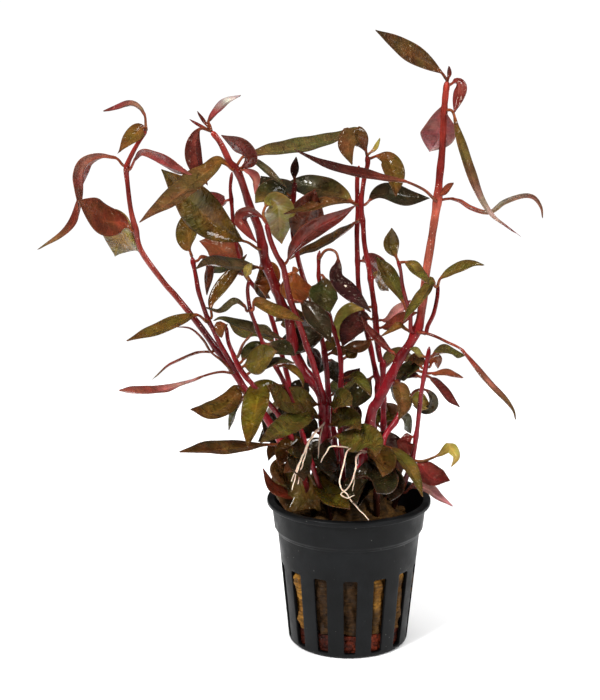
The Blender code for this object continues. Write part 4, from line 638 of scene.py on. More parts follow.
def rough(points: Array, size: float, seed: int, waves: int = 14) -> Array:
    """Smooth noise between about -1 and 1: a sum of sine waves of about one length in seeded directions.

    Args:
        points: where to read it, one row each.
        size: the length of its waves.
        seed: the number that picks the directions.
        waves: how many waves are added.
    """
    chance = np.random.default_rng(seed)
    ways = unit(chance.normal(size=(waves, 3))) * 2 * math.pi / size
    ways *= chance.uniform(0.7, 1.5, (waves, 1))
    starts = chance.uniform(0, 2 * math.pi, waves)
    return np.sin(points @ ways.T + starts).sum(axis=-1) * math.sqrt(2 / waves) / 1.6


def loft(rings: Array) -> tuple[Array, Array, Array]:
    """A closed skin over rings that run counter-clockwise round their direction of travel.

    Args:
        rings: an array of rings, points and coordinates.

    Returns:
        Its points, the two poles last, and its quads and triangles.
    """
    count, sides, _ = rings.shape
    points = np.vstack((rings.reshape(-1, 3), rings[0].mean(axis=0), rings[-1].mean(axis=0)))
    ring = np.arange(count - 1)[:, None] * sides
    side = np.arange(sides)
    after = (side + 1) % sides
    quads = np.stack((ring + side, ring + after, ring + sides + after, ring + sides + side), axis=-1)
    last = (count - 1) * sides
    start = np.full(sides, count * sides)
    foot = np.column_stack((after, side, start))
    tip = np.column_stack((last + side, last + after, start + 1))
    return points, quads.reshape(-1, 4), np.vstack((foot, tip))


def tube(centres: Array, radius: Array) -> Array:
    """Rings round a centreline, from a radius for each ring and side."""
    ahead = unit(np.gradient(centres, axis=0))
    side = unit(np.cross((0.0, 1.0, 0.0), ahead))
    front = np.cross(ahead, side)
    angle = circle(radius.shape[1])[:, None]
    ring = np.cos(angle) * side[:, None] + np.sin(angle) * front[:, None]
    return centres[:, None] + radius[..., None] * ring


def with_poles(values: Array) -> Array:
    """Values for each ring and side, as one row for each vertex of a loft, its two poles included."""
    ends = (values[0].mean(axis=0), values[-1].mean(axis=0))
    return np.concatenate((values.reshape(-1, *values.shape[2:]), np.array(ends)))


def join(surfaces: list[Surface]) -> Surface:
    """One surface with all of these side by side."""
    starts = np.cumsum([0] + [len(surface.points) for surface in surfaces])
    merged = {}
    for part in ("quads", "triangles"):
        shifted = [getattr(surface, part) + start for surface, start in zip(surfaces, starts)]
        merged[part] = np.vstack(shifted)
    for part in ("points", "tint", "guide", "upper"):
        if getattr(surfaces[0], part) is not None:
            merged[part] = np.concatenate([getattr(surface, part) for surface in surfaces])
    return Surface(**merged)


def show(name: str, data: bpy.types.ID) -> bpy.types.Object:
    """A new object in the scene with this data."""
    thing = bpy.data.objects.new(name, data)
    bpy.context.collection.objects.link(thing)
    return thing


def make_piece(name: str, surface: Surface, material: Material) -> bpy.types.Object:
    """A Blender object from a surface, in metres, with its attributes and its material."""
    mesh = bpy.data.meshes.new(name)
    corners = np.concatenate((surface.quads.ravel(), surface.triangles.ravel())).astype(np.int32)
    sizes = np.concatenate((np.full(len(surface.quads), 4), np.full(len(surface.triangles), 3)))
    starts = np.concatenate(((0,), np.cumsum(sizes)[:-1])).astype(np.int32)
    mesh.vertices.add(len(surface.points))
    mesh.vertices.foreach_set("co", (surface.points * MM).astype(np.float32).ravel())
    mesh.loops.add(len(corners))
    mesh.loops.foreach_set("vertex_index", corners)
    mesh.polygons.add(len(sizes))
    mesh.polygons.foreach_set("loop_start", starts)
    mesh.update(calc_edges=True)
    if surface.guide is not None:
        guide = surface.guide[corners].astype(np.float32)
        mesh.uv_layers.new(name="guide").data.foreach_set("uv", guide.ravel())
    if surface.tint is not None:
        colours = np.column_stack((surface.tint, np.ones(len(surface.tint)))).astype(np.float32)
        mesh.attributes.new("tint", "FLOAT_COLOR", "POINT").data.foreach_set("color", colours.ravel())
    if surface.upper is not None:
        side = surface.upper.astype(np.float32)
        mesh.attributes.new("upper", "FLOAT", "POINT").data.foreach_set("value", side)
    mesh.validate()
    mesh.materials.append(material)
    mesh.shade_smooth()
    return show(name, mesh)


def hand_over(piece: bpy.types.Object, slot: Slot, *nodes: str) -> None:
    """Hang a piece under the body that it rides on, hide the solids that it stands for and log its faces."""
    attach(piece, BODY)
    for node in nodes:
        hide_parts(node)
    LOG.info("%s: %d faces", piece.name, len(piece.data.polygons))


class Recipe:
    """A material under construction, with short ways to add its nodes."""

    def __init__(self, name: str, roughness: float, **constants: float) -> None:
        """Start from one Principled shader.

        Args:
            name: the material's name.
            roughness: its roughness where no node sets it.
            constants: values for the shader's sockets, with _ for each space.
        """
        self.material = bpy.data.materials.new(name)
        self.material.use_nodes = True
        self.tree = self.material.node_tree
        self.shader = self.tree.nodes["Principled BSDF"]
        self.shader.inputs["Roughness"].default_value = roughness
        for socket, value in constants.items():
            self.shader.inputs[socket.replace("_", " ")].default_value = value
        self.place = self.tree.nodes.new("ShaderNodeTexCoord").outputs["Object"]

    def node(self, kind: str, inputs: dict, **settings: object) -> bpy.types.Node:
        """A new node; its inputs are values, or sockets to link from."""
        made = self.tree.nodes.new("ShaderNode" + kind)
        for setting, value in settings.items():
            setattr(made, setting, value)
        for socket, value in inputs.items():
            if isinstance(value, Socket):
                self.tree.links.new(value, made.inputs[socket])
            else:
                made.inputs[socket].default_value = value
        return made

    def attribute(self, name: str, output: str) -> Socket:
        """What the mesh says under this name."""
        return self.node("Attribute", {}, attribute_name=name).outputs[output]

    def tint(self) -> Socket:
        """The piece's own tint."""
        return self.attribute("tint", "Color")

    def math(self, operation: str, first: object, second: object = 0.0) -> Socket:
        """One sum of two numbers."""
        return self.node("Math", {0: first, 1: second}, operation=operation).outputs[0]

    def times(self, first: object, second: object) -> Socket:
        """The product of two numbers."""
        return self.math("MULTIPLY", first, second)

    def plus(self, first: object, second: object) -> Socket:
        """Two numbers added."""
        return self.math("ADD", first, second)

    def noise(self, size: float, detail: float = 4.0, stretch: Colour = (1, 1, 1)) -> Socket:
        """Noise from 0 to 1 with lumps of about this size in millimetres, stretched along each axis."""
        scale = tuple(1 / (size * MM * part) for part in stretch)
        return self.stretched(self.place, scale, detail)

    def stretched(self, place: Socket, scale: Colour, detail: float) -> Socket:
        """Noise from 0 to 1 that reads these coordinates at this scale."""
        scaled = self.node("Mapping", {"Vector": place, "Scale": scale}).outputs[0]
        return self.node("TexNoise", {"Vector": scaled, "Scale": 1.0, "Detail": detail}).outputs[0]

    def remap(self, value: Socket, old: Pair, new: Pair) -> Socket:
        """A value carried from one range to another and held inside it, with soft ends."""
        inputs = {"Value": value, "From Min": old[0], "From Max": old[1], "To Min": new[0], "To Max": new[1]}
        return self.node("MapRange", inputs, interpolation_type="SMOOTHSTEP").outputs[0]

    def patches(self, size: float, detail: float, old: Pair, new: Pair,
                stretch: Colour = (1, 1, 1)) -> Socket:
        """Noise carried from one range to another."""
        return self.remap(self.noise(size, detail, stretch), old, new)

    def specks(self, size: float, edge: Pair, strength: float) -> Socket:
        """Round specks, one to each cell of this size in millimetres, with soft edges."""
        cells = self.node("TexVoronoi", {"Vector": self.place, "Scale": 1 / (size * MM)})
        return self.remap(cells.outputs["Distance"], edge, (strength, 0.0))

    def mix(self, share: object, first: object, second: object, blend: str = "MIX") -> Socket:
        """Two colours mixed."""
        inputs = {0: share}
        for socket, colour in ((6, first), (7, second)):
            inputs[socket] = (*colour, 1.0) if isinstance(colour, tuple) else colour
        return self.node("Mix", inputs, data_type="RGBA", blend_type=blend).outputs[2]

    def scaled(self, colour: Socket, factor: Socket) -> Socket:
        """A colour made lighter or darker by a factor."""
        made = self.node("VectorMath", {0: colour, "Scale": factor}, operation="SCALE")
        return made.outputs[0]

    def finish(self, colour: Socket, roughness: Optional[Socket],
               height: Optional[Socket], depth: float) -> Material:
        """Link the colour, the roughness and a bump of this depth in millimetres."""
        self.tree.links.new(colour, self.shader.inputs["Base Color"])
        if roughness is not None:
            self.tree.links.new(roughness, self.shader.inputs["Roughness"])
        if height is not None:
            bump = self.node("Bump", {"Height": height, "Strength": 1.0, "Distance": depth * MM})
            self.tree.links.new(bump.outputs[0], self.shader.inputs["Normal"])
        return self.material


@dataclass(frozen=True)
class LeafFinish:
    """How one kind of leaf looks besides its own tint.

    Attributes:
        slot: the material slot.
        vein: how much lighter the veins are than the leaf, 1 being twice as light.
        mottle: how strong the blotches are.
        wet: the roughness of its wettest places.
        dry: the roughness of its driest places.
        glow: the share of light that passes into the leaf.
        blisters: how high its wettest places stand in blisters, as against its dry ones.
        crinkle: how high its wettest places stand in creases that run along the side veins.
    """

    slot: Slot
    vein: float
    mottle: float
    wet: float
    dry: float
    glow: float
    blisters: float
    crinkle: float = 0.0

    def material(self) -> Material:
        """Veins, midrib, margin, blotches and wet patches over the leaf's own tint."""
        recipe = Recipe(self.slot.value, self.dry, Coat_Weight=0.2, Coat_Roughness=0.07, IOR=1.42,
                        Specular_IOR_Level=0.22, Subsurface_Weight=self.glow, Subsurface_Scale=0.0006)
        recipe.shader.inputs["Subsurface Radius"].default_value = (1.0, 0.45, 0.2)
        recipe.shader.inputs["Specular Tint"].default_value = (1.0, 0.86, 0.66, 1.0)
        upper = recipe.attribute("upper", "Fac")
        grid = recipe.node("UVMap", {}, uv_map="guide").outputs[0]
        guide = recipe.node("SeparateXYZ", {0: grid})
        from_midrib = recipe.math("ABSOLUTE", recipe.math("SUBTRACT", guide.outputs[0], 0.5))
        to_vein = recipe.math("PINGPONG", guide.outputs[1], 0.5)
        vein = recipe.remap(to_vein, (0.02, 0.13), (1.0, 0.0))
        inside = recipe.remap(from_midrib, (0.40, 0.48), (1.0, 0.0))
        midrib = recipe.remap(from_midrib, (0.012, 0.06), (1.0, 0.0))
        margin = recipe.remap(from_midrib, (0.455, 0.49), (0.0, 1.0))
        lines = recipe.math("MAXIMUM", recipe.times(vein, inside), midrib)
        lines = recipe.times(lines, recipe.remap(upper, (0.2, 0.8), (0.35, 1.0)))
        blotches = recipe.patches(3.5, 5, (0.32, 0.68), (1 - self.mottle, 1 + self.mottle))
        grain = recipe.patches(0.7, 3, (0.3, 0.7), (0.92, 1.08))
        colour = recipe.scaled(recipe.tint(), recipe.times(blotches, grain))
        # Lighter down the midrib and darker towards the margin: partly the leaf's own tone, partly a painted
        # highlight along the middle.
        colour = recipe.scaled(colour, recipe.remap(from_midrib, (0.0, 0.45), (1.25, 0.88)))
        greener = recipe.patches(6.0, 3, (0.35, 0.65), (0.0, 1.0))
        hue = recipe.mix(greener, (0.92, 1.12, 0.92), (1.1, 0.92, 0.96))
        colour = recipe.mix(1.0, colour, hue, "MULTIPLY")
        colour = recipe.scaled(colour, recipe.plus(recipe.times(lines, self.vein), 1.0))
        colour = recipe.mix(recipe.times(margin, 0.25), colour, (0.20, 0.08, 0.04))
        drops = recipe.noise(5.0, 3)
        wetness = recipe.remap(drops, (0.44, 0.58), (self.wet, self.dry))
        swell = recipe.remap(drops, (0.44, 0.6), (self.blisters, 1.0))
        height = recipe.plus(recipe.times(recipe.noise(3.2, 1), swell), recipe.times(lines, -0.35))
        if self.crinkle:
            crease = recipe.stretched(grid, (2.4, 1.5, 1.0), 1.5)
            height = recipe.plus(height, recipe.times(crease, self.crinkle))
        return recipe.finish(colour, wetness, height, 0.12)


LEAF_FINISHES = (
    LeafFinish(Slot.OLIVE, 0.24, 0.26, 0.13, 0.36, 0.10, 10.0),
    LeafFinish(Slot.GREEN, 0.28, 0.24, 0.13, 0.34, 0.12, 10.0),
    LeafFinish(Slot.DARK, 0.20, 0.26, 0.12, 0.34, 0.05, 9.0),
    LeafFinish(Slot.WINE, 0.28, 0.24, 0.14, 0.38, 0.10, 3.5),
    LeafFinish(Slot.KHAKI, 0.20, 0.20, 0.14, 0.40, 0.18, 2.5),
)
CRINKLED = LeafFinish(Slot.OLIVE, 0.24, 0.30, 0.08, 0.28, 0.10, 10.0, 14.0)


@dataclass(frozen=True)
class StemFinish:
    """The look of the fleshy crimson stems."""

    streak: float = 0.22
    wet: float = 0.16
    dry: float = 0.36

    def material(self) -> Material:
        """Fine streaks along the stem, pale specks and a wet sheen over the stem's own tint."""
        recipe = Recipe(Slot.STEM.value, self.dry, Coat_Weight=0.12, Coat_Roughness=0.08, IOR=1.42,
                        Specular_IOR_Level=0.2, Subsurface_Weight=0.12, Subsurface_Scale=0.0008)
        recipe.shader.inputs["Subsurface Radius"].default_value = (1.0, 0.3, 0.25)
        streaks = recipe.patches(0.5, 4, (0.3, 0.7), (1 - self.streak, 1 + self.streak), (1, 1, 9))
        clouds = recipe.patches(5.0, 4, (0.3, 0.7), (0.82, 1.2), (1, 1, 2))
        colour = recipe.scaled(recipe.tint(), recipe.times(streaks, clouds))
        speckled = recipe.patches(4.0, 2, (0.5, 0.6), (0.0, 0.7))
        speck = recipe.times(recipe.specks(1.0, (0.10, 0.2), 1.0), speckled)
        colour = recipe.mix(speck, colour, (0.70, 0.42, 0.32))
        wetness = recipe.patches(3.0, 3, (0.4, 0.6), (self.wet, self.dry))
        height = recipe.plus(recipe.noise(0.45, 3, (1, 1, 6)), recipe.times(speck, 0.6))
        return recipe.finish(colour, wetness, height, 0.09)


@dataclass(frozen=True)
class PlasticFinish:
    """The look of the pot's black moulded plastic."""

    body: Colour = (0.0044, 0.0046, 0.0048)
    scuffed: Colour = (0.0080, 0.0088, 0.0098)

    def material(self) -> Material:
        """Satin plastic with cloudy scuffs, a few scratches, dust specks and a fine moulded grain."""
        recipe = Recipe(Slot.POT.value, 0.42, IOR=1.48, Specular_IOR_Level=0.09)
        colour = recipe.mix(recipe.patches(9.0, 6, (0.35, 0.75), (0.0, 0.55)), self.body, self.scuffed)
        rubbed = recipe.patches(1.6, 4, (0.56, 0.78), (0.0, 0.3), (1, 1, 7))
        colour = recipe.mix(rubbed, colour, self.scuffed)
        colour = recipe.mix(recipe.specks(2.6, (0.03, 0.07), 0.35), colour, (0.30, 0.30, 0.28))
        roughness = recipe.patches(6.0, 5, (0.3, 0.7), (0.34, 0.52))
        return recipe.finish(colour, roughness, recipe.noise(0.35, 3), 0.035)


def wool_material() -> Material:
    """Damp mineral wool: matted fibres that run round the plug, darker in the hollows, partly in their own
    tone and partly by painted shade.
    """
    recipe = Recipe(Slot.WOOL.value, 0.85, IOR=1.4, Specular_IOR_Level=0.15)
    fibres = recipe.noise(0.5, 6, (6, 6, 1))
    tufts = recipe.noise(2.2, 5)
    # Partly the fibres' own tone, partly painted shade: the colour darkens where the fibre and tuft noise,
    # which also makes the bump, is low.
    shade = recipe.times(recipe.remap(fibres, (0.3, 0.72), (0.6, 1.45)),
                         recipe.remap(tufts, (0.32, 0.68), (0.65, 1.35)))
    colour = recipe.scaled(recipe.tint(), shade)
    damp = recipe.patches(4.5, 4, (0.58, 0.72), (0.0, 0.5))
    colour = recipe.mix(damp, colour, (0.035, 0.018, 0.006))
    roughness = recipe.remap(tufts, (0.35, 0.65), (0.45, 0.9))
    return recipe.finish(colour, roughness, recipe.plus(fibres, tufts), 0.35)


def clay_material() -> Material:
    """Burnt clay: pitted grains, with painted shade in the pits and in the gaps between grains."""
    recipe = Recipe(Slot.CLAY.value, 0.6, IOR=1.45, Specular_IOR_Level=0.15)
    pits = recipe.noise(0.35, 4)
    # Painted shade: the colour darkens where the pits noise, which also makes the bump, is low.
    colour = recipe.scaled(recipe.tint(), recipe.remap(pits, (0.3, 0.7), (0.6, 1.35)))
    roughness = recipe.patches(1.5, 3, (0.4, 0.6), (0.35, 0.75))
    return recipe.finish(colour, roughness, pits, 0.12)


def root_material() -> Material:
    """Young roots: cream flesh with dirt in fine patches."""
    recipe = Recipe(Slot.ROOT.value, 0.4, IOR=1.4, Subsurface_Weight=0.15, Subsurface_Scale=0.0005)
    colour = recipe.scaled(recipe.tint(), recipe.patches(1.2, 4, (0.3, 0.7), (0.78, 1.12)))
    return recipe.finish(colour, None, recipe.noise(0.3, 2), 0.04)


@dataclass(frozen=True)
class Pot:
    """The slotted net pot and what fills it, turned about Z.

    Column lines hug the edges of every slot, so that cells can be left out between them, and the skins
    outside and inside are joined round each hole.
    """

    rim_height: float = 50.0
    lip_radius: float = 27.5
    lip_depth: float = 1.8
    lip_round: float = 0.75
    collar_top_radius: float = 25.9
    collar_bottom: float = 40.2
    collar_bottom_radius: float = 25.0
    step_height: float = 38.6
    step_radius: float = 23.9
    bead_height: float = 39.0
    bead_size: float = 0.16
    bead_width: float = 0.28
    foot_radius: float = 20.1
    foot_round: float = 1.2
    wall: float = 1.1
    floor: float = 1.3
    slots: int = 14
    slot_bottom: float = 1.6
    slot_top: float = 28.2
    slot_width_bottom: float = 3.7
    slot_width_top: float = 4.7
    slot_round: float = 0.7
    floor_slot_inner: float = 7.0
    floor_slot_outer: float = 16.0
    floor_slot_width: float = 2.6
    slot_cells: int = 4
    rib_cells: int = 8
    edge_round: float = 0.16
    clay_bottom: float = 1.7
    clay_top: float = 7.6
    grain: float = 1.5
    plug_bottom: float = 8.0
    plug_edge: float = 43.5
    plug_middle: float = 52.0
    clearance: float = 0.35
    swells: Numbers = (0.2, 1.3, 1.2, 1.4, 0.8, 1.1, 0.4, 0.9, 1.2, 0.6, 1.0, 0.9, 1.7, 0.4)
    heap: float = 3.5
    khaki: Colour = (0.12, 0.052, 0.009)
    ochre: Colour = (0.17, 0.080, 0.013)
    brown: Colour = (0.020, 0.010, 0.0045)
    gold: Colour = (0.070, 0.034, 0.009)
    damp: Colour = (0.012, 0.007, 0.0035)
    clay_red: Colour = (0.032, 0.0042, 0.001)
    plug_columns: int = 240
    plug_rows: int = 84
    clay_columns: int = 420
    clay_rows: int = 34
    clay_seed: int = 31

    def taper(self, height: Array) -> Array:
        """The radius of the plain cone below the step."""
        return self.foot_radius + (self.step_radius - self.foot_radius) * height / self.step_height

    def bead(self, height: Array) -> Array:
        """How far the bead under the step stands out."""
        return self.bead_size * np.exp(-((height - self.bead_height) / self.bead_width) ** 2)

    def outer_radius(self, height: Array) -> Array:
        """The wall's outer radius at a height: foot, taper, bead, step and collar."""
        collar = np.interp(height, (self.collar_bottom, self.rim_height - self.lip_depth),
                           (self.collar_bottom_radius, self.collar_top_radius))
        radius = np.where(height <= self.step_height, self.taper(height),
                          np.interp(height, (self.step_height, self.collar_bottom),
                                    (self.step_radius, self.collar_bottom_radius)))
        radius = np.where(height >= self.collar_bottom, collar, radius)
        rounding = np.clip(1 - height / self.foot_round, 0, 1)
        return radius + self.bead(height) - self.foot_round * (1 - np.sqrt(1 - rounding ** 2))

    def wall_heights(self) -> Array:
        """The heights of the wall's rows, close together at the ends of the slots and at the step."""
        ends = self.slot_round * np.array((0.0, 0.05, 0.2, 0.5, 1.0))
        middle = np.linspace(self.slot_bottom + 2, self.slot_top - 2, 12)
        above = np.linspace(self.slot_top + 1, self.bead_height - 1.2, 6)
        step = np.linspace(self.bead_height - 0.8, self.collar_bottom + 0.3, 11)
        collar = np.linspace(self.collar_bottom + 1, self.rim_height - self.lip_depth - 0.05, 6)
        slot = (self.slot_bottom + ends, middle, self.slot_top - ends[::-1])
        return np.concatenate((*slot, above, step, collar))

    def half_angles(self, radius: Array, height: Array) -> Array:
        """Half the angle that a slot takes up at each row, with round corners at its two ends."""
        widths = (self.slot_width_bottom, self.slot_width_top)
        width = np.interp(height, (self.slot_bottom, self.slot_top), widths)
        to_end = np.clip(np.minimum(height - self.slot_bottom, self.slot_top - height), 0, self.slot_round)
        corner = self.slot_round - np.sqrt(self.slot_round ** 2 - (self.slot_round - to_end) ** 2)
        return np.arcsin((width / 2 - corner) / radius)

    def rows(self) -> tuple[Array, Array, Array, list[tuple[int, int, int, int]]]:
        """The profile from the middle of the underside, up the outside, over the lip and down to the floor.

        Returns:
            Radii, heights and half angles of its rows, and for each kind of slot its first and last row
            outside and the rows inside that match them.
        """
        heights = self.wall_heights()
        under = np.linspace(self.floor_slot_inner, self.floor_slot_outer, 4)
        foot = np.linspace(0.02, self.slot_bottom - 0.1, 6)
        turn = np.linspace(0, math.pi / 2, 6)
        top = self.rim_height
        lip_out = self.lip_radius - self.lip_round
        low = top - self.lip_depth
        hem = self.lip_depth / 2
        lip_low = np.column_stack((lip_out + 0.5 * np.sin(turn), low + 0.5 - 0.5 * np.cos(turn)))
        lip_low[:, 0] = np.minimum(lip_low[:, 0] + self.lip_round - 0.5, self.lip_radius)
        lip_top = np.column_stack((lip_out + self.lip_round * np.cos(turn),
                                   top - self.lip_round + self.lip_round * np.sin(turn)))
        inner_lip = self.collar_top_radius - self.wall
        lip_in = np.column_stack((inner_lip + hem * (1 - np.sin(turn)), top - hem * (1 - np.cos(turn))))
        outside = np.column_stack((self.outer_radius(heights), heights))
        inside = np.column_stack((self.outer_radius(heights) - self.wall, heights))[::-1]
        inside[:, 0] -= 0.9 * self.bead(inside[:, 1])
        parts = [np.column_stack((under, np.zeros(4))), [(self.foot_radius - self.foot_round - 0.6, 0)],
                 np.column_stack((self.outer_radius(foot), foot)), outside, lip_low, lip_top, lip_in, inside,
                 [(self.outer_radius(self.floor) - self.wall - 0.05, self.floor)],
                 np.column_stack((under[::-1], np.full(4, self.floor)))]
        profile = np.vstack(parts)
        starts = np.cumsum([0] + [len(part) for part in parts])
        half = self.half_angles(profile[:, 0], np.clip(profile[:, 1], self.slot_bottom, self.slot_top))
        for start in (starts[0], starts[9]):
            half[start:start + 4] = np.arcsin(self.floor_slot_width / 2 / profile[start:start + 4, 0])
        last = int(np.argmin(np.abs(heights - self.slot_top)))
        end = len(heights) - 1
        side = (starts[3], starts[3] + last, starts[7] + end, starts[7] + end - last)
        floor = (starts[0], starts[0] + 3, starts[9] + 3, starts[9])
        return profile[:, 0], profile[:, 1], half, [side, floor]

    def skin(self) -> Surface:
        """The pot's one closed skin.

        Each pitch holds slot_cells cells between the edges of its slot and rib_cells cells from there to the
        next slot. Point (row, column) is (radius cos angle, radius sin angle, height).
        """
        radii, heights, half, holes = self.rows()
        pitch = 2 * math.pi / self.slots
        in_slot = np.linspace(-1, 1, self.slot_cells + 1)
        in_rib = np.arange(1, self.rib_cells) / self.rib_cells
        edge = half[:, None]
        one = np.column_stack((edge * in_slot, edge + (pitch - 2 * edge) * in_rib))
        middles = -math.pi / 2 + np.arange(self.slots) * pitch
        angles = (middles[None, :, None] + one[:, None, :]).reshape(len(radii), -1)
        grid = np.stack((radii[:, None] * np.cos(angles), radii[:, None] * np.sin(angles),
                         np.broadcast_to(heights[:, None], angles.shape)), axis=-1)
        points, quads, triangles = loft(grid[:, ::-1])
        count = angles.shape[1]
        cells = self.slot_cells + self.rib_cells
        number = np.arange(len(radii) * count).reshape(len(radii), count)[:, ::-1]
        row = np.repeat(np.arange(len(radii) - 1), count)
        column = np.tile(np.arange(count)[::-1] - 1, len(radii) - 1) % count
        is_slot = column % cells < self.slot_cells
        odd = column // cells % 2 == 1
        keep = np.ones(len(quads), bool)
        bridges = []
        for kind, (low, high, low_in, high_in) in enumerate(holes):
            first, last = min(low_in, high_in), max(low_in, high_in)
            here = (row >= low) & (row < high) | (row >= first) & (row < last)
            keep &= ~(here & is_slot & (odd if kind else True))
            rows_out = np.arange(low, high + 1)
            rows_in = np.linspace(low_in, high_in, high - low + 1).astype(int)
            for slot in range(1 if kind else 0, self.slots, 2 if kind else 1):
                columns = slot * cells + np.arange(self.slot_cells + 1)
                ends = (columns[0], columns[-1])
                edges = [(number[rows_out, side], number[rows_in, side]) for side in ends]
                for outer, inner in ((low, low_in), (high, high_in)):
                    edges.append((number[outer, columns], number[inner, columns]))
                for out, within in edges:
                    bridges.append(np.column_stack((out[:-1], out[1:], within[1:], within[:-1])))
        return Surface(points, np.vstack([quads[keep]] + bridges), triangles)

    def build_shell(self) -> None:
        """The pot, its slot edges softened."""
        piece = make_piece("net_pot", self.skin(), PlasticFinish().material())
        shell = bmesh.new()
        shell.from_mesh(piece.data)
        bmesh.ops.recalc_face_normals(shell, faces=shell.faces)
        shell.to_mesh(piece.data)
        shell.free()
        bevel = piece.modifiers.new("soft_edges", "BEVEL")
        bevel.width = self.edge_round * MM
        bevel.segments = 2
        bevel.limit_method = "ANGLE"
        bevel.angle_limit = math.radians(50)
        piece.data.shade_smooth()
        hand_over(piece, Slot.POT, "pot")

    def room(self, height: Array) -> Array:
        """The radius that is free inside the wall."""
        return np.minimum(self.taper(height), self.step_radius) - self.wall - self.clearance

    def drum(self, under: Array, side: Array, over: Array, top: Array, columns: int) -> Array:
        """Rings of a drum that fills the pot, from the middle of its underside to the middle of its top.

        Args:
            under: the radii of its underside.
            side: the heights of its side.
            over: the radii of its top.
            top: the heights of its top.
            columns: the points round it.
        """
        angle = circle(columns)
        radius = np.concatenate((under, self.room(side), over))[:, None]
        height = np.concatenate((np.full(len(under), side[0]), side, top))[:, None]
        level = np.broadcast_to(height, (len(height), columns))
        return np.stack((radius * np.cos(angle), radius * np.sin(angle), level), axis=-1)

    def outward(self, points: Array) -> tuple[Array, Array]:
        """The way out from the axis at each point, and how much of the free radius lies behind it."""
        out = unit(points * FLAT + (0, 0, 1e-9))
        return out, np.hypot(points[:, 0], points[:, 1]) / self.room(points[:, 2])

    def plug_skin(self) -> Surface:
        """The plug: a drum with a domed, torn top.

        Two sizes of noise push the side in, fine tufts let it stand out again, and the top rises and falls
        with coarse noise and is heaped up at the front, right of the middle.
        """
        side = np.linspace(self.plug_bottom, self.plug_edge, self.plug_rows)
        under = np.linspace(2, self.room(self.plug_bottom) - 0.4, 8)
        over = np.linspace(self.room(self.plug_edge) - 0.5, 0.6, 40)
        dome = (self.plug_middle - self.plug_edge) * step_up(1 - over / self.room(self.plug_edge), 0, 0.7)
        grid = self.drum(under, side, over, self.plug_edge + dome, self.plug_columns)
        flat = grid.reshape(-1, 3)
        rim = step_up(flat[:, 2], self.plug_edge - 5, self.plug_edge)
        lumps = 0.55 * rough(flat, 9, 11) + 0.35 * rough(flat, 3.2, 12)
        tufts = 0.16 * rough(flat * (1, 1, 3), 1.6, 13) + 0.10 * rough(flat * (1, 1, 4), 0.9, 14)
        out, far = self.outward(flat)
        push = np.minimum(lumps - 0.75 - rim * (1.6 + 1.4 * rough(flat, 14, 15)), 0.1)
        push = push + tufts + self.swelling(flat)
        flat = flat + out * (push * step_up(far, 0.2, 0.9))[:, None]
        top = step_up(flat[:, 2], self.plug_edge - 1, self.plug_edge + 0.2)
        hills = 0.9 * rough(flat * FLAT, 11, 16) + 0.14 * rough(flat * FLAT, 4, 17)
        flat[:, 2] += top * (hills + 0.3 * tufts)
        heap = ((flat[:, 0] - 8) / 11) ** 2 + ((flat[:, 1] + 9) / 8) ** 2
        flat[:, 2] += top * self.heap * np.exp(-heap)
        return Surface(*loft(flat.reshape(grid.shape)), tint=self.wool_tint(with_poles(grid)))

    def swelling(self, points: Array) -> Array:
        """How far the wool swells out through each slot: a smooth bump inside the slot's edges."""
        pitch = 2 * math.pi / self.slots
        turn = (np.arctan2(points[:, 1], points[:, 0]) + math.pi / 2) / pitch
        number = np.round(turn).astype(int)
        radius = self.room(points[:, 2])
        half = self.half_angles(radius, np.clip(points[:, 2], self.slot_bottom, self.slot_top)) * radius
        to_edge = half - 0.25 - np.abs(turn - number) * pitch * radius
        to_end = np.minimum(points[:, 2] - self.slot_bottom, self.slot_top - points[:, 2]) - 0.3
        bump = step_up(to_edge, 0, 0.7) * step_up(to_end, 0, 2.0)
        return bump * np.array(self.swells)[number % self.slots]

    def wool_tint(self, points: Array) -> Array:
        """Khaki and brown by turns round the plug, as seen through the slots, and golden brown on top."""
        angle = np.degrees(np.arctan2(points[:, 0], -points[:, 1]))
        height = points[:, 2] + 4 * rough(points, 8, 24)
        patch = 0.5 + 0.5 * rough(points, 8, 21)
        colour = towards(np.array(self.khaki), self.ochre, step_up(patch, 0.3, 0.8))
        shaded = 1 - step_up(np.abs(angle + 13), 20, 26)
        below = np.interp(angle, (26, 51, 77), (16, 25, 24))
        right = step_up(angle, 6, 12) * (1 - step_up(angle, 62, 68))
        shaded = np.maximum(shaded, right * step_up(below - height, -2, 2) * 0.8)
        edges = step_up(np.abs(angle), 64, 68) * (1 - step_up(np.abs(angle), 78, 84))
        shaded = np.maximum(shaded, edges * step_up(height, 12, 18))
        behind = step_up(rough(points, 11, 22), 0.35, 0.7) * (np.abs(angle) > 84)
        shaded = np.clip(shaded + 0.6 * behind, 0, 1)
        colour = towards(colour, self.brown, 0.92 * shaded)
        top = step_up(points[:, 2], 35, 41)
        colour = towards(colour, self.gold, top)
        return towards(colour, self.damp, 0.7 * top * step_up(rough(points, 12, 23), 0.1, 0.7))

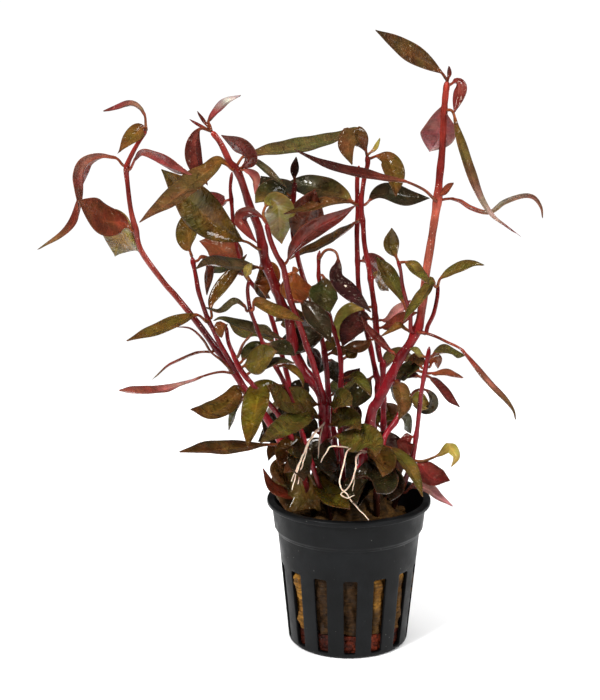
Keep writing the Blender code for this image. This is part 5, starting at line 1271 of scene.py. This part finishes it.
    def clay_skin(self) -> Surface:
        """The bed of clay grains: a drum whose side swells out round each grain.

        The swelling falls off as a half sphere with the distance to the nearest grain's middle.
        """
        side = np.linspace(self.clay_bottom, self.clay_top, self.clay_rows)
        under = np.linspace(1, self.room(self.clay_bottom) - 0.4, 4)
        over = np.linspace(self.room(self.clay_top) - 0.4, 1, 12)
        grid = self.drum(under, side, over, np.full(len(over), self.clay_top), self.clay_columns)
        flat = grid.reshape(-1, 3)
        chance = np.random.default_rng(self.clay_seed)
        around = 2 * math.pi * self.room(5.0)
        across, up = np.meshgrid(np.arange(0, around, self.grain), np.arange(-1, 9, self.grain * 0.85))
        across = across + (np.arange(across.shape[0])[:, None] % 2) * self.grain / 2
        middles = np.column_stack((across.ravel(), up.ravel())) + chance.normal(0, 0.22, (across.size, 2))
        turned = np.arctan2(flat[:, 1], flat[:, 0]) % (2 * math.pi)
        here = np.column_stack((turned * self.room(5.0), flat[:, 2]))
        gaps = here[:, None, :] - middles[None, :, :]
        gaps[..., 0] = (gaps[..., 0] + around / 2) % around - around / 2
        distance = np.sqrt((gaps ** 2).sum(axis=-1))
        nearest = distance.argmin(axis=1)
        swell = np.sqrt(np.clip(1 - (distance.min(axis=1) / (0.72 * self.grain)) ** 2, 0, 1))
        out, far = self.outward(flat)
        flat = flat + out * ((swell * 0.75 - 0.7) * step_up(far, 0.8, 0.97))[:, None]
        shades = np.array(self.clay_red) * chance.uniform(0.4, 1.4, (len(middles), 1))
        bright = np.exp(-((middles[:, 0] / around * 360 - 290) / 22) ** 2)
        shades = shades * (1 + 2.6 * bright[:, None])
        # Painted shade: each grain's colour falls to an eighth of itself in the gaps between grains.
        tint = shades[nearest] * (0.12 + 0.88 * swell[:, None])
        return Surface(*loft(flat.reshape(grid.shape)), tint=with_poles(tint.reshape(grid.shape)))

    def build(self) -> None:
        """The pot, its clay and its plug."""
        self.build_shell()
        plug = make_piece("wool_plug", self.plug_skin(), wool_material())
        hand_over(plug, Slot.WOOL, "rockwool_plug")
        clay = make_piece("clay_grain_bed", self.clay_skin(), clay_material())
        hand_over(clay, Slot.CLAY, "clay_bed")


class Plant:
    """The stems, the leaves and the roots, all on the routes that their solids follow.

    Attributes:
        lines: the centreline of each stem.
        joints: where leaves leave each stem, as fractions of its length.
    """

    leaf_clearance = 0.9
    shoot_clearance = 1.05
    long_petiole = 8.0
    petiole_depth_share = 0.35
    crowded = 2.2
    stem_tip_place = 0.985
    stem_step = 0.02

    def __init__(self) -> None:
        """Work out every stem's centreline, parents first."""
        self.lines: dict[str, Array] = {}
        self.joints: dict[str, list[float]] = {name: [] for name in STEMS}
        for name, stem in STEMS.items():
            self.lines[name] = self.stem_line(stem)
        for leaf in (*LEAVES.values(), *SMALL_LEAVES, *HEART_LEAVES):
            self.joints[leaf.stem].append(self.nearest(leaf.stem, leaf.seen[:2]))

    def nearest(self, stem: str, point: Pair) -> float:
        """The fraction along a stem where the eye sees it nearest to a point of the middle plane."""
        line = self.lines[stem]
        scale = -EYE[1] / (line[:, 1] - EYE[1])
        seen = EYE + (line - EYE) * scale[:, None]
        away = np.hypot(seen[:, 0] - point[0], seen[:, 2] - point[1])
        along = lengths_along(line)
        return float(along[np.argmin(away)] / along[-1])

    def root_on(self, stem: str, points: Line, depth: float, clearance: float) -> tuple[Array, Array]:
        """Where a piece that heads for its second point leaves a stem.

        Returns:
            The point inside the stem, and the one this far off its surface.
        """
        line = self.lines[stem]
        place = self.nearest(stem, points[0])
        centre = at(line, [place])[0]
        before, after = at(line, (max(place - self.stem_step, 0), min(place + self.stem_step, 1)))
        away = stand(points[1][0], depth, points[1][1]) - centre
        if place < self.stem_tip_place:
            away = without(away, unit(after - before))
        return centre, centre + unit(away) * (spread(STEMS[stem].thick, place) / 2 + clearance)

    def stem_line(self, stem: Stem) -> Array:
        """The centreline of a stem, from inside the plug or inside the stem that carries it."""
        seen = pairs(stem.seen)
        if isinstance(stem.base, tuple):
            start = np.array((*stem.base, PLUG_TOP))
            inside = start - (0, 0, ROOTED)
        else:
            clearance = self.shoot_clearance + stem.thick[0] / 2
            inside, start = self.root_on(stem.base, seen, stem.depth[0], clearance)
            seen = seen[1:]
        places = shares_along(((start[0], start[2]), *seen))
        depths = spread((start[1], *stem.depth), places)
        return smooth([inside, start] + stand_all(seen, depths[1:]))

    def leaf_line(self, leaf: Leaf) -> Array:
        """The midrib of a leaf, from inside its stem to its tip."""
        seen = pairs(leaf.seen)
        early = min(1.0, leaf.petiole / self.long_petiole)
        base = at(self.lines[leaf.stem], [self.nearest(leaf.stem, seen[0])])[0][1]
        first_depth = base + (leaf.depth - base) * self.petiole_depth_share * early
        inside, edge = self.root_on(leaf.stem, seen, first_depth, self.leaf_clearance)
        depths = base + (leaf.depth - base) * shares_along(seen)
        points = [inside, edge] + stand_all(seen[1:], depths[1:])
        if np.linalg.norm(points[2] - edge) < self.crowded or np.dot(points[2] - edge, edge - inside) < 0:
            del points[1]
        return smooth(points)


@dataclass(frozen=True)
class StemMaker:
    """Turns a stem's centreline into a fleshy round stem with swollen joints."""

    sides: int = 16
    spacing: float = 0.9
    joint_swell: float = 0.22
    joint_length: float = 1.3
    joint_share: float = 0.6
    tip_round: float = 2.2
    tip_closed: float = 0.93
    fewest_rings: int = 8
    plump: float = 1.14
    ribs: int = 4
    rib_height: float = 0.035
    rib_twist: float = 3.0
    colour_start: float = 45.0
    colour_length: float = 140.0
    # Painted shade: towards the plug the stems darken to this brown between the two heights below, as if in
    # the shadow of the leaves.
    foot: Colour = (0.030, 0.008, 0.004)
    painted_shade_heights: Pair = (52.0, 66.0)
    low: Colour = (0.20, 0.0076, 0.014)
    middle: Colour = (0.11, 0.0065, 0.006)
    high: Colour = (0.24, 0.028, 0.018)
    orange: Colour = (0.26, 0.060, 0.036)

    def skin(self, stem: Stem, line: Array, joints: list[float], seed: int) -> Surface:
        """Rings round the centreline: swollen at each joint, with shallow ribs and slow noise."""
        length = lengths_along(line)[-1]
        places = np.linspace(0, 1, max(self.fewest_rings, round(length / self.spacing)))
        centres = at(line, places)
        radius = self.plump * spread(stem.thick, places) / 2
        reach = max(self.joint_length, self.joint_share * stem.thick[0])
        away = (places[:, None] - np.array(joints or [NOWHERE])) * length / reach
        radius = radius * (1 + self.joint_swell * np.exp(-away ** 2).max(axis=1))
        to_tip = np.clip((1 - places) * length / self.tip_round, 0, 1)
        radius = radius * np.sqrt(1 - (1 - to_tip) ** 2 * self.tip_closed)
        angle = circle(self.sides)
        ribs = 1 + self.rib_height * np.cos(self.ribs * angle + seed + self.rib_twist * places[:, None])
        ribs = ribs + 0.05 * rough(centres, 7, seed)[:, None]
        rings = tube(centres, radius[:, None] * ribs)
        flat = with_poles(rings)
        height = flat[:, 2]
        share = (height - self.colour_start) / self.colour_length
        tint = spread_colours((self.low, self.low, self.middle, self.middle, self.high), share)
        # Painted shade: the stems' feet darken towards the brown as they near the plug.
        tint = towards(np.array(self.foot), tint, step_up(height, *self.painted_shade_heights))
        tint = towards(tint, self.orange, np.interp(height, BLUSH_HEIGHTS, (0, 1, 1, 0)) * stem.blush)
        mood = 1 + 0.25 * rough(flat, 16, seed + 1) + 0.15 * rough(flat, 5, seed + 2)
        return Surface(*loft(rings), tint=tint * mood[:, None])


@dataclass(frozen=True)
class LeafMaker:
    """Turns a midrib into a leaf: a round stalk that opens into a folded, veined, wavy blade.

    Attributes:
        sides: the points round a cross-section, half of them above.
        spacing: the distance between cross-sections.
        breadth: how much broader the blade is than its solid.
        vein_spacing: the distance between side veins along the midrib.
        vein_reach: how far a side vein climbs towards the tip on its way to the margin.
        evened: how many cross-sections to each side share their turn with one.
        stalk_taper: how thick the stalk is at the stem, under the blade and at the tip of the leaf.
        opening: how many stalks wide it is where the blade begins to open and where it is open.
        greening: how many stalks wide it is where it leaves the stalk's colour and where it has its own.
    """

    sides: int = 36
    spacing: float = 0.62
    breadth: float = 1.06
    petiole_half_width: float = 0.45
    belly_sharpness: float = 1.05
    tail_sharpness: float = 2.0
    fold: float = math.radians(13)
    settle: float = 0.34
    inner_edge: float = 0.85
    thickness: float = 0.26
    midrib: float = 0.42
    vein_spacing: float = 2.1
    vein_reach: float = 3.2
    vein_relief: float = 0.13
    vein_bend: float = 1.4
    wave: float = 0.14
    wave_length: float = 13.0
    fewest_rings: int = 14
    evened: int = 7
    longest_neck: float = 0.5
    tip_gap: float = 0.15
    stalk_taper: tuple[float, float, float] = (1.15, 0.95, 0.12)
    opening: Pair = (1.05, 2.6)
    greening: Pair = (1.2, 3.2)
    puff: float = 0.05
    groove: float = 0.22
    groove_width: float = 0.55
    rib_width: float = 0.42
    rib_taper: Pair = (1.1, 0.35)
    stalk_colour: Colour = (0.15, 0.028, 0.012)
    stalk_share: float = 0.7

    def frames(self, leaf: Leaf, centres: Array, places: Array) -> tuple[Array, Array]:
        """The directions across the blade and up from it, by the leaf's turn and evened out."""
        ahead = unit(np.gradient(centres, axis=0))
        to_eye = unit(without(unit(EYE - centres), ahead))
        rise = np.cross(ahead, to_eye)
        if rise[:, 2].mean() < 0:
            rise = -rise
        turn = np.radians(spread(np.atleast_1d(leaf.turn), places))[:, None]
        upper = np.cos(turn) * rise + np.sin(turn) * to_eye
        first, last = (np.repeat(end, self.evened, 0) for end in (upper[:1], upper[-1:]))
        padded = np.vstack((first, upper, last))
        kernel = np.hanning(2 * self.evened + 3)[1:-1]
        kernel = kernel / kernel.sum()
        even = np.column_stack([np.convolve(column, kernel, "valid") for column in padded.T])
        upper = unit(without(even, ahead))
        return np.cross(upper, ahead), upper

    def skin(self, leaf: Leaf, line: Array, seed: int) -> Surface:
        """The leaf's closed skin.

        A cross-section runs once round: below from one margin to the other, and back above. It is a circle
        in the stalk and a thin lens in the blade. The lens follows a sheet that folds up from the midrib,
        bulges between the veins and waves at the margin.
        """
        chance = np.random.default_rng(seed)
        length = lengths_along(line)[-1]
        neck = min(self.longest_neck, leaf.petiole / length)
        places = np.linspace(0, 1, max(self.fewest_rings, round(length / self.spacing)))
        places[-1] = 1 - self.tip_gap / length
        centres = at(line, places)
        across, upper = self.frames(leaf, centres, places)
        grown = np.clip((places - neck) / (1 - neck), 0, 1)
        sharpness = self.belly_sharpness + self.tail_sharpness * max(0.0, EVEN_BELLY - leaf.belly)
        belly = np.sin(math.pi * grown ** (math.log(0.5) / math.log(leaf.belly))) ** sharpness
        scale = (centres[:, 1] - EYE[1]) / -EYE[1]
        half = self.breadth * leaf.width / 2 * belly * scale
        ahead = unit(np.gradient(centres, axis=0))
        steps = np.gradient(lengths_along(centres))[:, None]
        bend = np.abs(np.sum(np.gradient(ahead, axis=0) / steps * across, axis=1))
        half = np.minimum(half, self.inner_edge / np.maximum(bend, 1e-6))
        stalk = self.petiole_half_width * np.interp(places, (0, neck, 1), self.stalk_taper)
        half = np.maximum(half, stalk)
        bladed = step_up(half / stalk, *self.opening)[:, None]

        turn = np.arange(self.sides) * 2 * math.pi / self.sides
        u = np.where(turn < math.pi, 2 * turn / math.pi - 1, 3 - 2 * turn / math.pi)[None, :]
        above = (turn > math.pi).astype(float)
        above[0] = above[self.sides // 2] = 0.5
        side = np.sign(above - 0.5)
        wide = half[:, None]
        x = wide * u
        along = (lengths_along(centres) - neck * length)[:, None]
        bow = np.abs(u)
        phase = (along - self.vein_reach * bow ** self.vein_bend) / self.vein_spacing + 0.5 * (u > 0)
        to_vein = np.abs(phase % 1 - 0.5) * 2
        quilt = (to_vein ** 2 - 0.4) * np.clip(bow * 5, 0, 1) * (1 - bow ** 4)
        starts = chance.uniform(0, 2 * math.pi, 3)
        ripple = np.sin(2 * math.pi * along / self.wave_length + starts[0] + np.where(u > 0, starts[1], 0))
        room = np.clip(wide / 3, 0, 1)
        sheet = wide * (math.sin(self.fold) * (np.sqrt(u ** 2 + 0.012) - 0.11))
        sheet = sheet + self.puff * wide * np.sin(math.pi * bow)
        sheet = sheet - self.vein_relief * room * quilt
        sheet = sheet + self.wave * room * bow ** 3 * ripple
        sheet = sheet - self.groove * room * np.exp(-(x / self.groove_width) ** 2) - self.settle * wide
        lens = self.thickness / 2 * np.sqrt(np.clip(1 - bow ** 8, 0, 1)) * side
        rib = self.midrib * np.exp(-(x / self.rib_width) ** 2) * (side < 0)
        rib = rib * np.interp(grown, (0, 1), self.rib_taper)[:, None]
        round_x = -wide * np.cos(turn)
        round_y = -wide * np.sin(turn)
        x = round_x + (x * math.cos(self.fold) - round_x) * bladed
        y = round_y + (sheet + lens - rib - round_y) * bladed
        rings = centres[:, None] + across[:, None] * x[..., None] + upper[:, None] * y[..., None]

        shade = leaf.tint.value
        over = spread_colours(shade.above, grown)[:, None] / SHADE_PARTS
        below = spread_colours(shade.below, grown)[:, None] / SHADE_PARTS
        tint = np.where(above[None, :, None] >= 0.5, over, below)
        stalked = (1 - step_up(half / stalk, *self.greening)) * (grown < 0.5)
        tint = towards(tint, self.stalk_colour, self.stalk_share * stalked[:, None])
        mood = 1 + chance.uniform(-0.14, 0.14) + chance.uniform(-0.07, 0.07, 3)
        cloudy = 1 + 0.16 * rough(with_poles(rings), 9, seed + 1)[:, None]
        guide = np.stack((np.broadcast_to(u / 2 + 0.5, x.shape), phase), axis=-1)
        tint = with_poles(np.broadcast_to(tint, (*x.shape, 3))) * mood * cloudy
        upper_side = with_poles(np.broadcast_to(above, x.shape))
        return Surface(*loft(rings), tint=tint, guide=with_poles(guide), upper=upper_side)


@dataclass(frozen=True)
class RootMaker:
    """Turns a strand's route into a thin, slightly kinked root."""

    sides: int = 8
    spacing: float = 0.5
    radius: float = 0.27
    tip_radius: float = 0.13
    kink: float = 0.12
    cream: Colour = (0.72, 0.55, 0.42)
    pink: Colour = (0.62, 0.34, 0.26)

    def skin(self, line: Array, seed: int) -> Surface:
        """Rings round the route, which noise pushes a little to each side."""
        length = lengths_along(line)[-1]
        places = np.linspace(0, 1, max(10, round(length / self.spacing)))
        centres = at(line, places)
        for axis in range(3):
            centres[:, axis] += self.kink * rough(centres, 4, seed + axis) * step_up(places, 0, 0.2)
        radius = np.interp(places, (0, 0.8, 1), (self.radius, self.radius * 0.85, self.tip_radius))
        rings = tube(centres, np.repeat(radius[:, None], self.sides, axis=1))
        tint = spread_colours((self.pink, self.cream, self.cream), places)[:, None]
        return Surface(*loft(rings), tint=with_poles(np.broadcast_to(tint, rings.shape)))


class Greenery:
    """Builds every piece of the plant and dresses it."""

    def __init__(self, plant: Plant) -> None:
        """Keep the plant's routes and make its materials."""
        self.plant = plant
        self.finishes = {finish.slot: finish.material() for finish in LEAF_FINISHES}
        self.crinkled = CRINKLED.material()

    def build_stems(self) -> None:
        """Every stem and shoot."""
        maker = StemMaker()
        material = StemFinish().material()
        for number, (name, stem) in enumerate(STEMS.items()):
            seed = STEM_SEED + SEED_STEP * number
            skin = maker.skin(stem, self.plant.lines[name], self.plant.joints[name], seed)
            hand_over(make_piece(name + "_flesh", skin, material), Slot.STEM, name)

    def build_leaves(self) -> None:
        """Every large leaf."""
        maker = LeafMaker()
        for number, (name, leaf) in enumerate(LEAVES.items()):
            skin = maker.skin(leaf, self.plant.leaf_line(leaf), LEAF_SEED + SEED_STEP * number)
            material = self.crinkled if leaf.tint is Tint.BROAD_BROWN else self.finishes[leaf.kind]
            hand_over(make_piece(name + "_blade", skin, material), leaf.kind, name)

    def build_small_leaves(self) -> None:
        """The small leaves, joined to one piece for each stem and kind."""
        maker = LeafMaker(sides=28, spacing=0.6, breadth=1.12, vein_spacing=1.7, wave=0.12, wave_length=9)
        groups: dict[tuple[str, Slot], list[Surface]] = {}
        for number, leaf in enumerate(SMALL_LEAVES + HEART_LEAVES):
            skin = maker.skin(leaf, self.plant.leaf_line(leaf), SMALL_LEAF_SEED + SEED_STEP * number)
            groups.setdefault((leaf.stem, leaf.kind), []).append(skin)
        for (stem, slot), skins in groups.items():
            name = f"{stem}_small_{slot.name.lower()}_leaves"
            hand_over(make_piece(name, join(skins), self.finishes[slot]), slot, stem)

    def build_roots(self) -> None:
        """The bundles of aerial roots."""
        maker = RootMaker()
        material = root_material()
        for number, (name, roots) in enumerate(ROOTS.items()):
            strands = []
            centre = at(self.plant.lines[roots.stem], [self.plant.nearest(roots.stem, roots.start)])[0]
            start = centre - (0, spread(STEMS[roots.stem].thick, 0.2) / 2 + 0.7, 0)
            for strand, (depth, seen) in enumerate(roots.strands):
                points = pairs(roots.start + seen)
                depths = start[1] + (depth - start[1]) * np.sqrt(shares_along(points))
                route = smooth([centre, start] + stand_all(points[1:], depths[1:]))
                strands.append(maker.skin(route, ROOT_SEED + SEED_STEP * (10 * number + strand)))
            hand_over(make_piece(name + "_strands", join(strands), material), Slot.ROOT, name)

    def build(self) -> None:
        """The whole plant."""
        self.build_stems()
        self.build_leaves()
        self.build_small_leaves()
        self.build_roots()


@dataclass(frozen=True)
class Lamp:
    """A soft square light.

    Attributes:
        name: its name.
        place: where it stands, in metres.
        size: its side, in metres.
        watts: its power.
        glints: whether it is also seen in reflections.
    """

    name: str
    place: Colour
    size: float
    watts: float
    glints: bool


@dataclass(frozen=True)
class Studio:
    """A pale floor, soft white light from all round and the photograph's camera."""

    target: Colour = (-0.015, 0.0, 0.10)
    backdrop: float = 1.05
    surround: float = 0.14
    floor_reach: float = 0.36
    lamps: tuple[Lamp, ...] = (
        Lamp("overhead", (0.0, 0.0, 1.1), 2.0, 25.0, False),
        Lamp("key", (-0.5, -0.6, 0.75), 0.2, 12.0, True),
        Lamp("fill", (0.7, -0.4, 0.4), 0.2, 4.5, True),
    )

    def build_floor(self) -> None:
        """A wide floor with a faint grain."""
        recipe = Recipe("pale_floor", 0.7)
        grain = recipe.patches(30.0, 3, (0.3, 0.7), (0.0, 1.0))
        material = recipe.finish(recipe.mix(grain, (0.93, 0.93, 0.93), (0.95, 0.95, 0.95)), None, None, 0)
        mesh = bpy.data.meshes.new("floor")
        reach = self.floor_reach
        corners = [(-reach, -reach, 0), (reach, -reach, 0), (reach, reach, 0), (-reach, reach, 0)]
        mesh.from_pydata(corners, [], [(0, 1, 2, 3)])
        mesh.materials.append(material)
        floor = show("floor", mesh)

    def build_lights(self) -> None:
        """Three soft lamps and a white surround."""
        for lamp in self.lamps:
            data = bpy.data.lights.new(lamp.name, "AREA")
            data.size = lamp.size
            data.energy = lamp.watts
            light = show(lamp.name, data)
            light.location = lamp.place
            light.visible_glossy = lamp.glints
            way = np.array(self.target) - np.array(lamp.place)
            tilt = math.atan2(math.hypot(way[0], way[1]), -way[2])
            light.rotation_euler = Euler((tilt, 0, math.atan2(-way[0], way[1])), "XYZ")
        world = bpy.data.worlds.new("white_room")
        world.use_nodes = True
        tree = world.node_tree
        background = tree.nodes["Background"]
        background.inputs["Color"].default_value = (1, 1, 1, 1)
        path = tree.nodes.new("ShaderNodeLightPath")
        strength = tree.nodes.new("ShaderNodeMapRange")
        strength.inputs["To Min"].default_value = self.surround
        strength.inputs["To Max"].default_value = self.backdrop
        tree.links.new(path.outputs["Is Camera Ray"], strength.inputs["Value"])
        tree.links.new(strength.outputs[0], background.inputs["Strength"])
        bpy.context.scene.world = world
        bpy.context.scene.view_settings.view_transform = "Standard"

    def build_camera(self) -> None:
        """The eye, at the photograph's place and angle."""
        data = bpy.data.cameras.new("eye")
        data.lens = EYE_LENS
        data.clip_start = 0.01
        eye = show("eye", data)
        eye.location = EYE * MM
        eye.rotation_euler = Euler((math.radians(EYE_TILT), 0, 0), "XYZ")
        bpy.context.scene.camera = eye

    def build(self) -> None:
        """Camera, floor and lights."""
        self.build_camera()
        self.build_floor()
        self.build_lights()


def main() -> None:
    """Build the studio, the pot and the plant."""
    logging.basicConfig(level=logging.INFO, format="%(message)s")
    Studio().build()
    Pot().build()
    Greenery(Plant()).build()


if __name__ == "__main__":
    main()
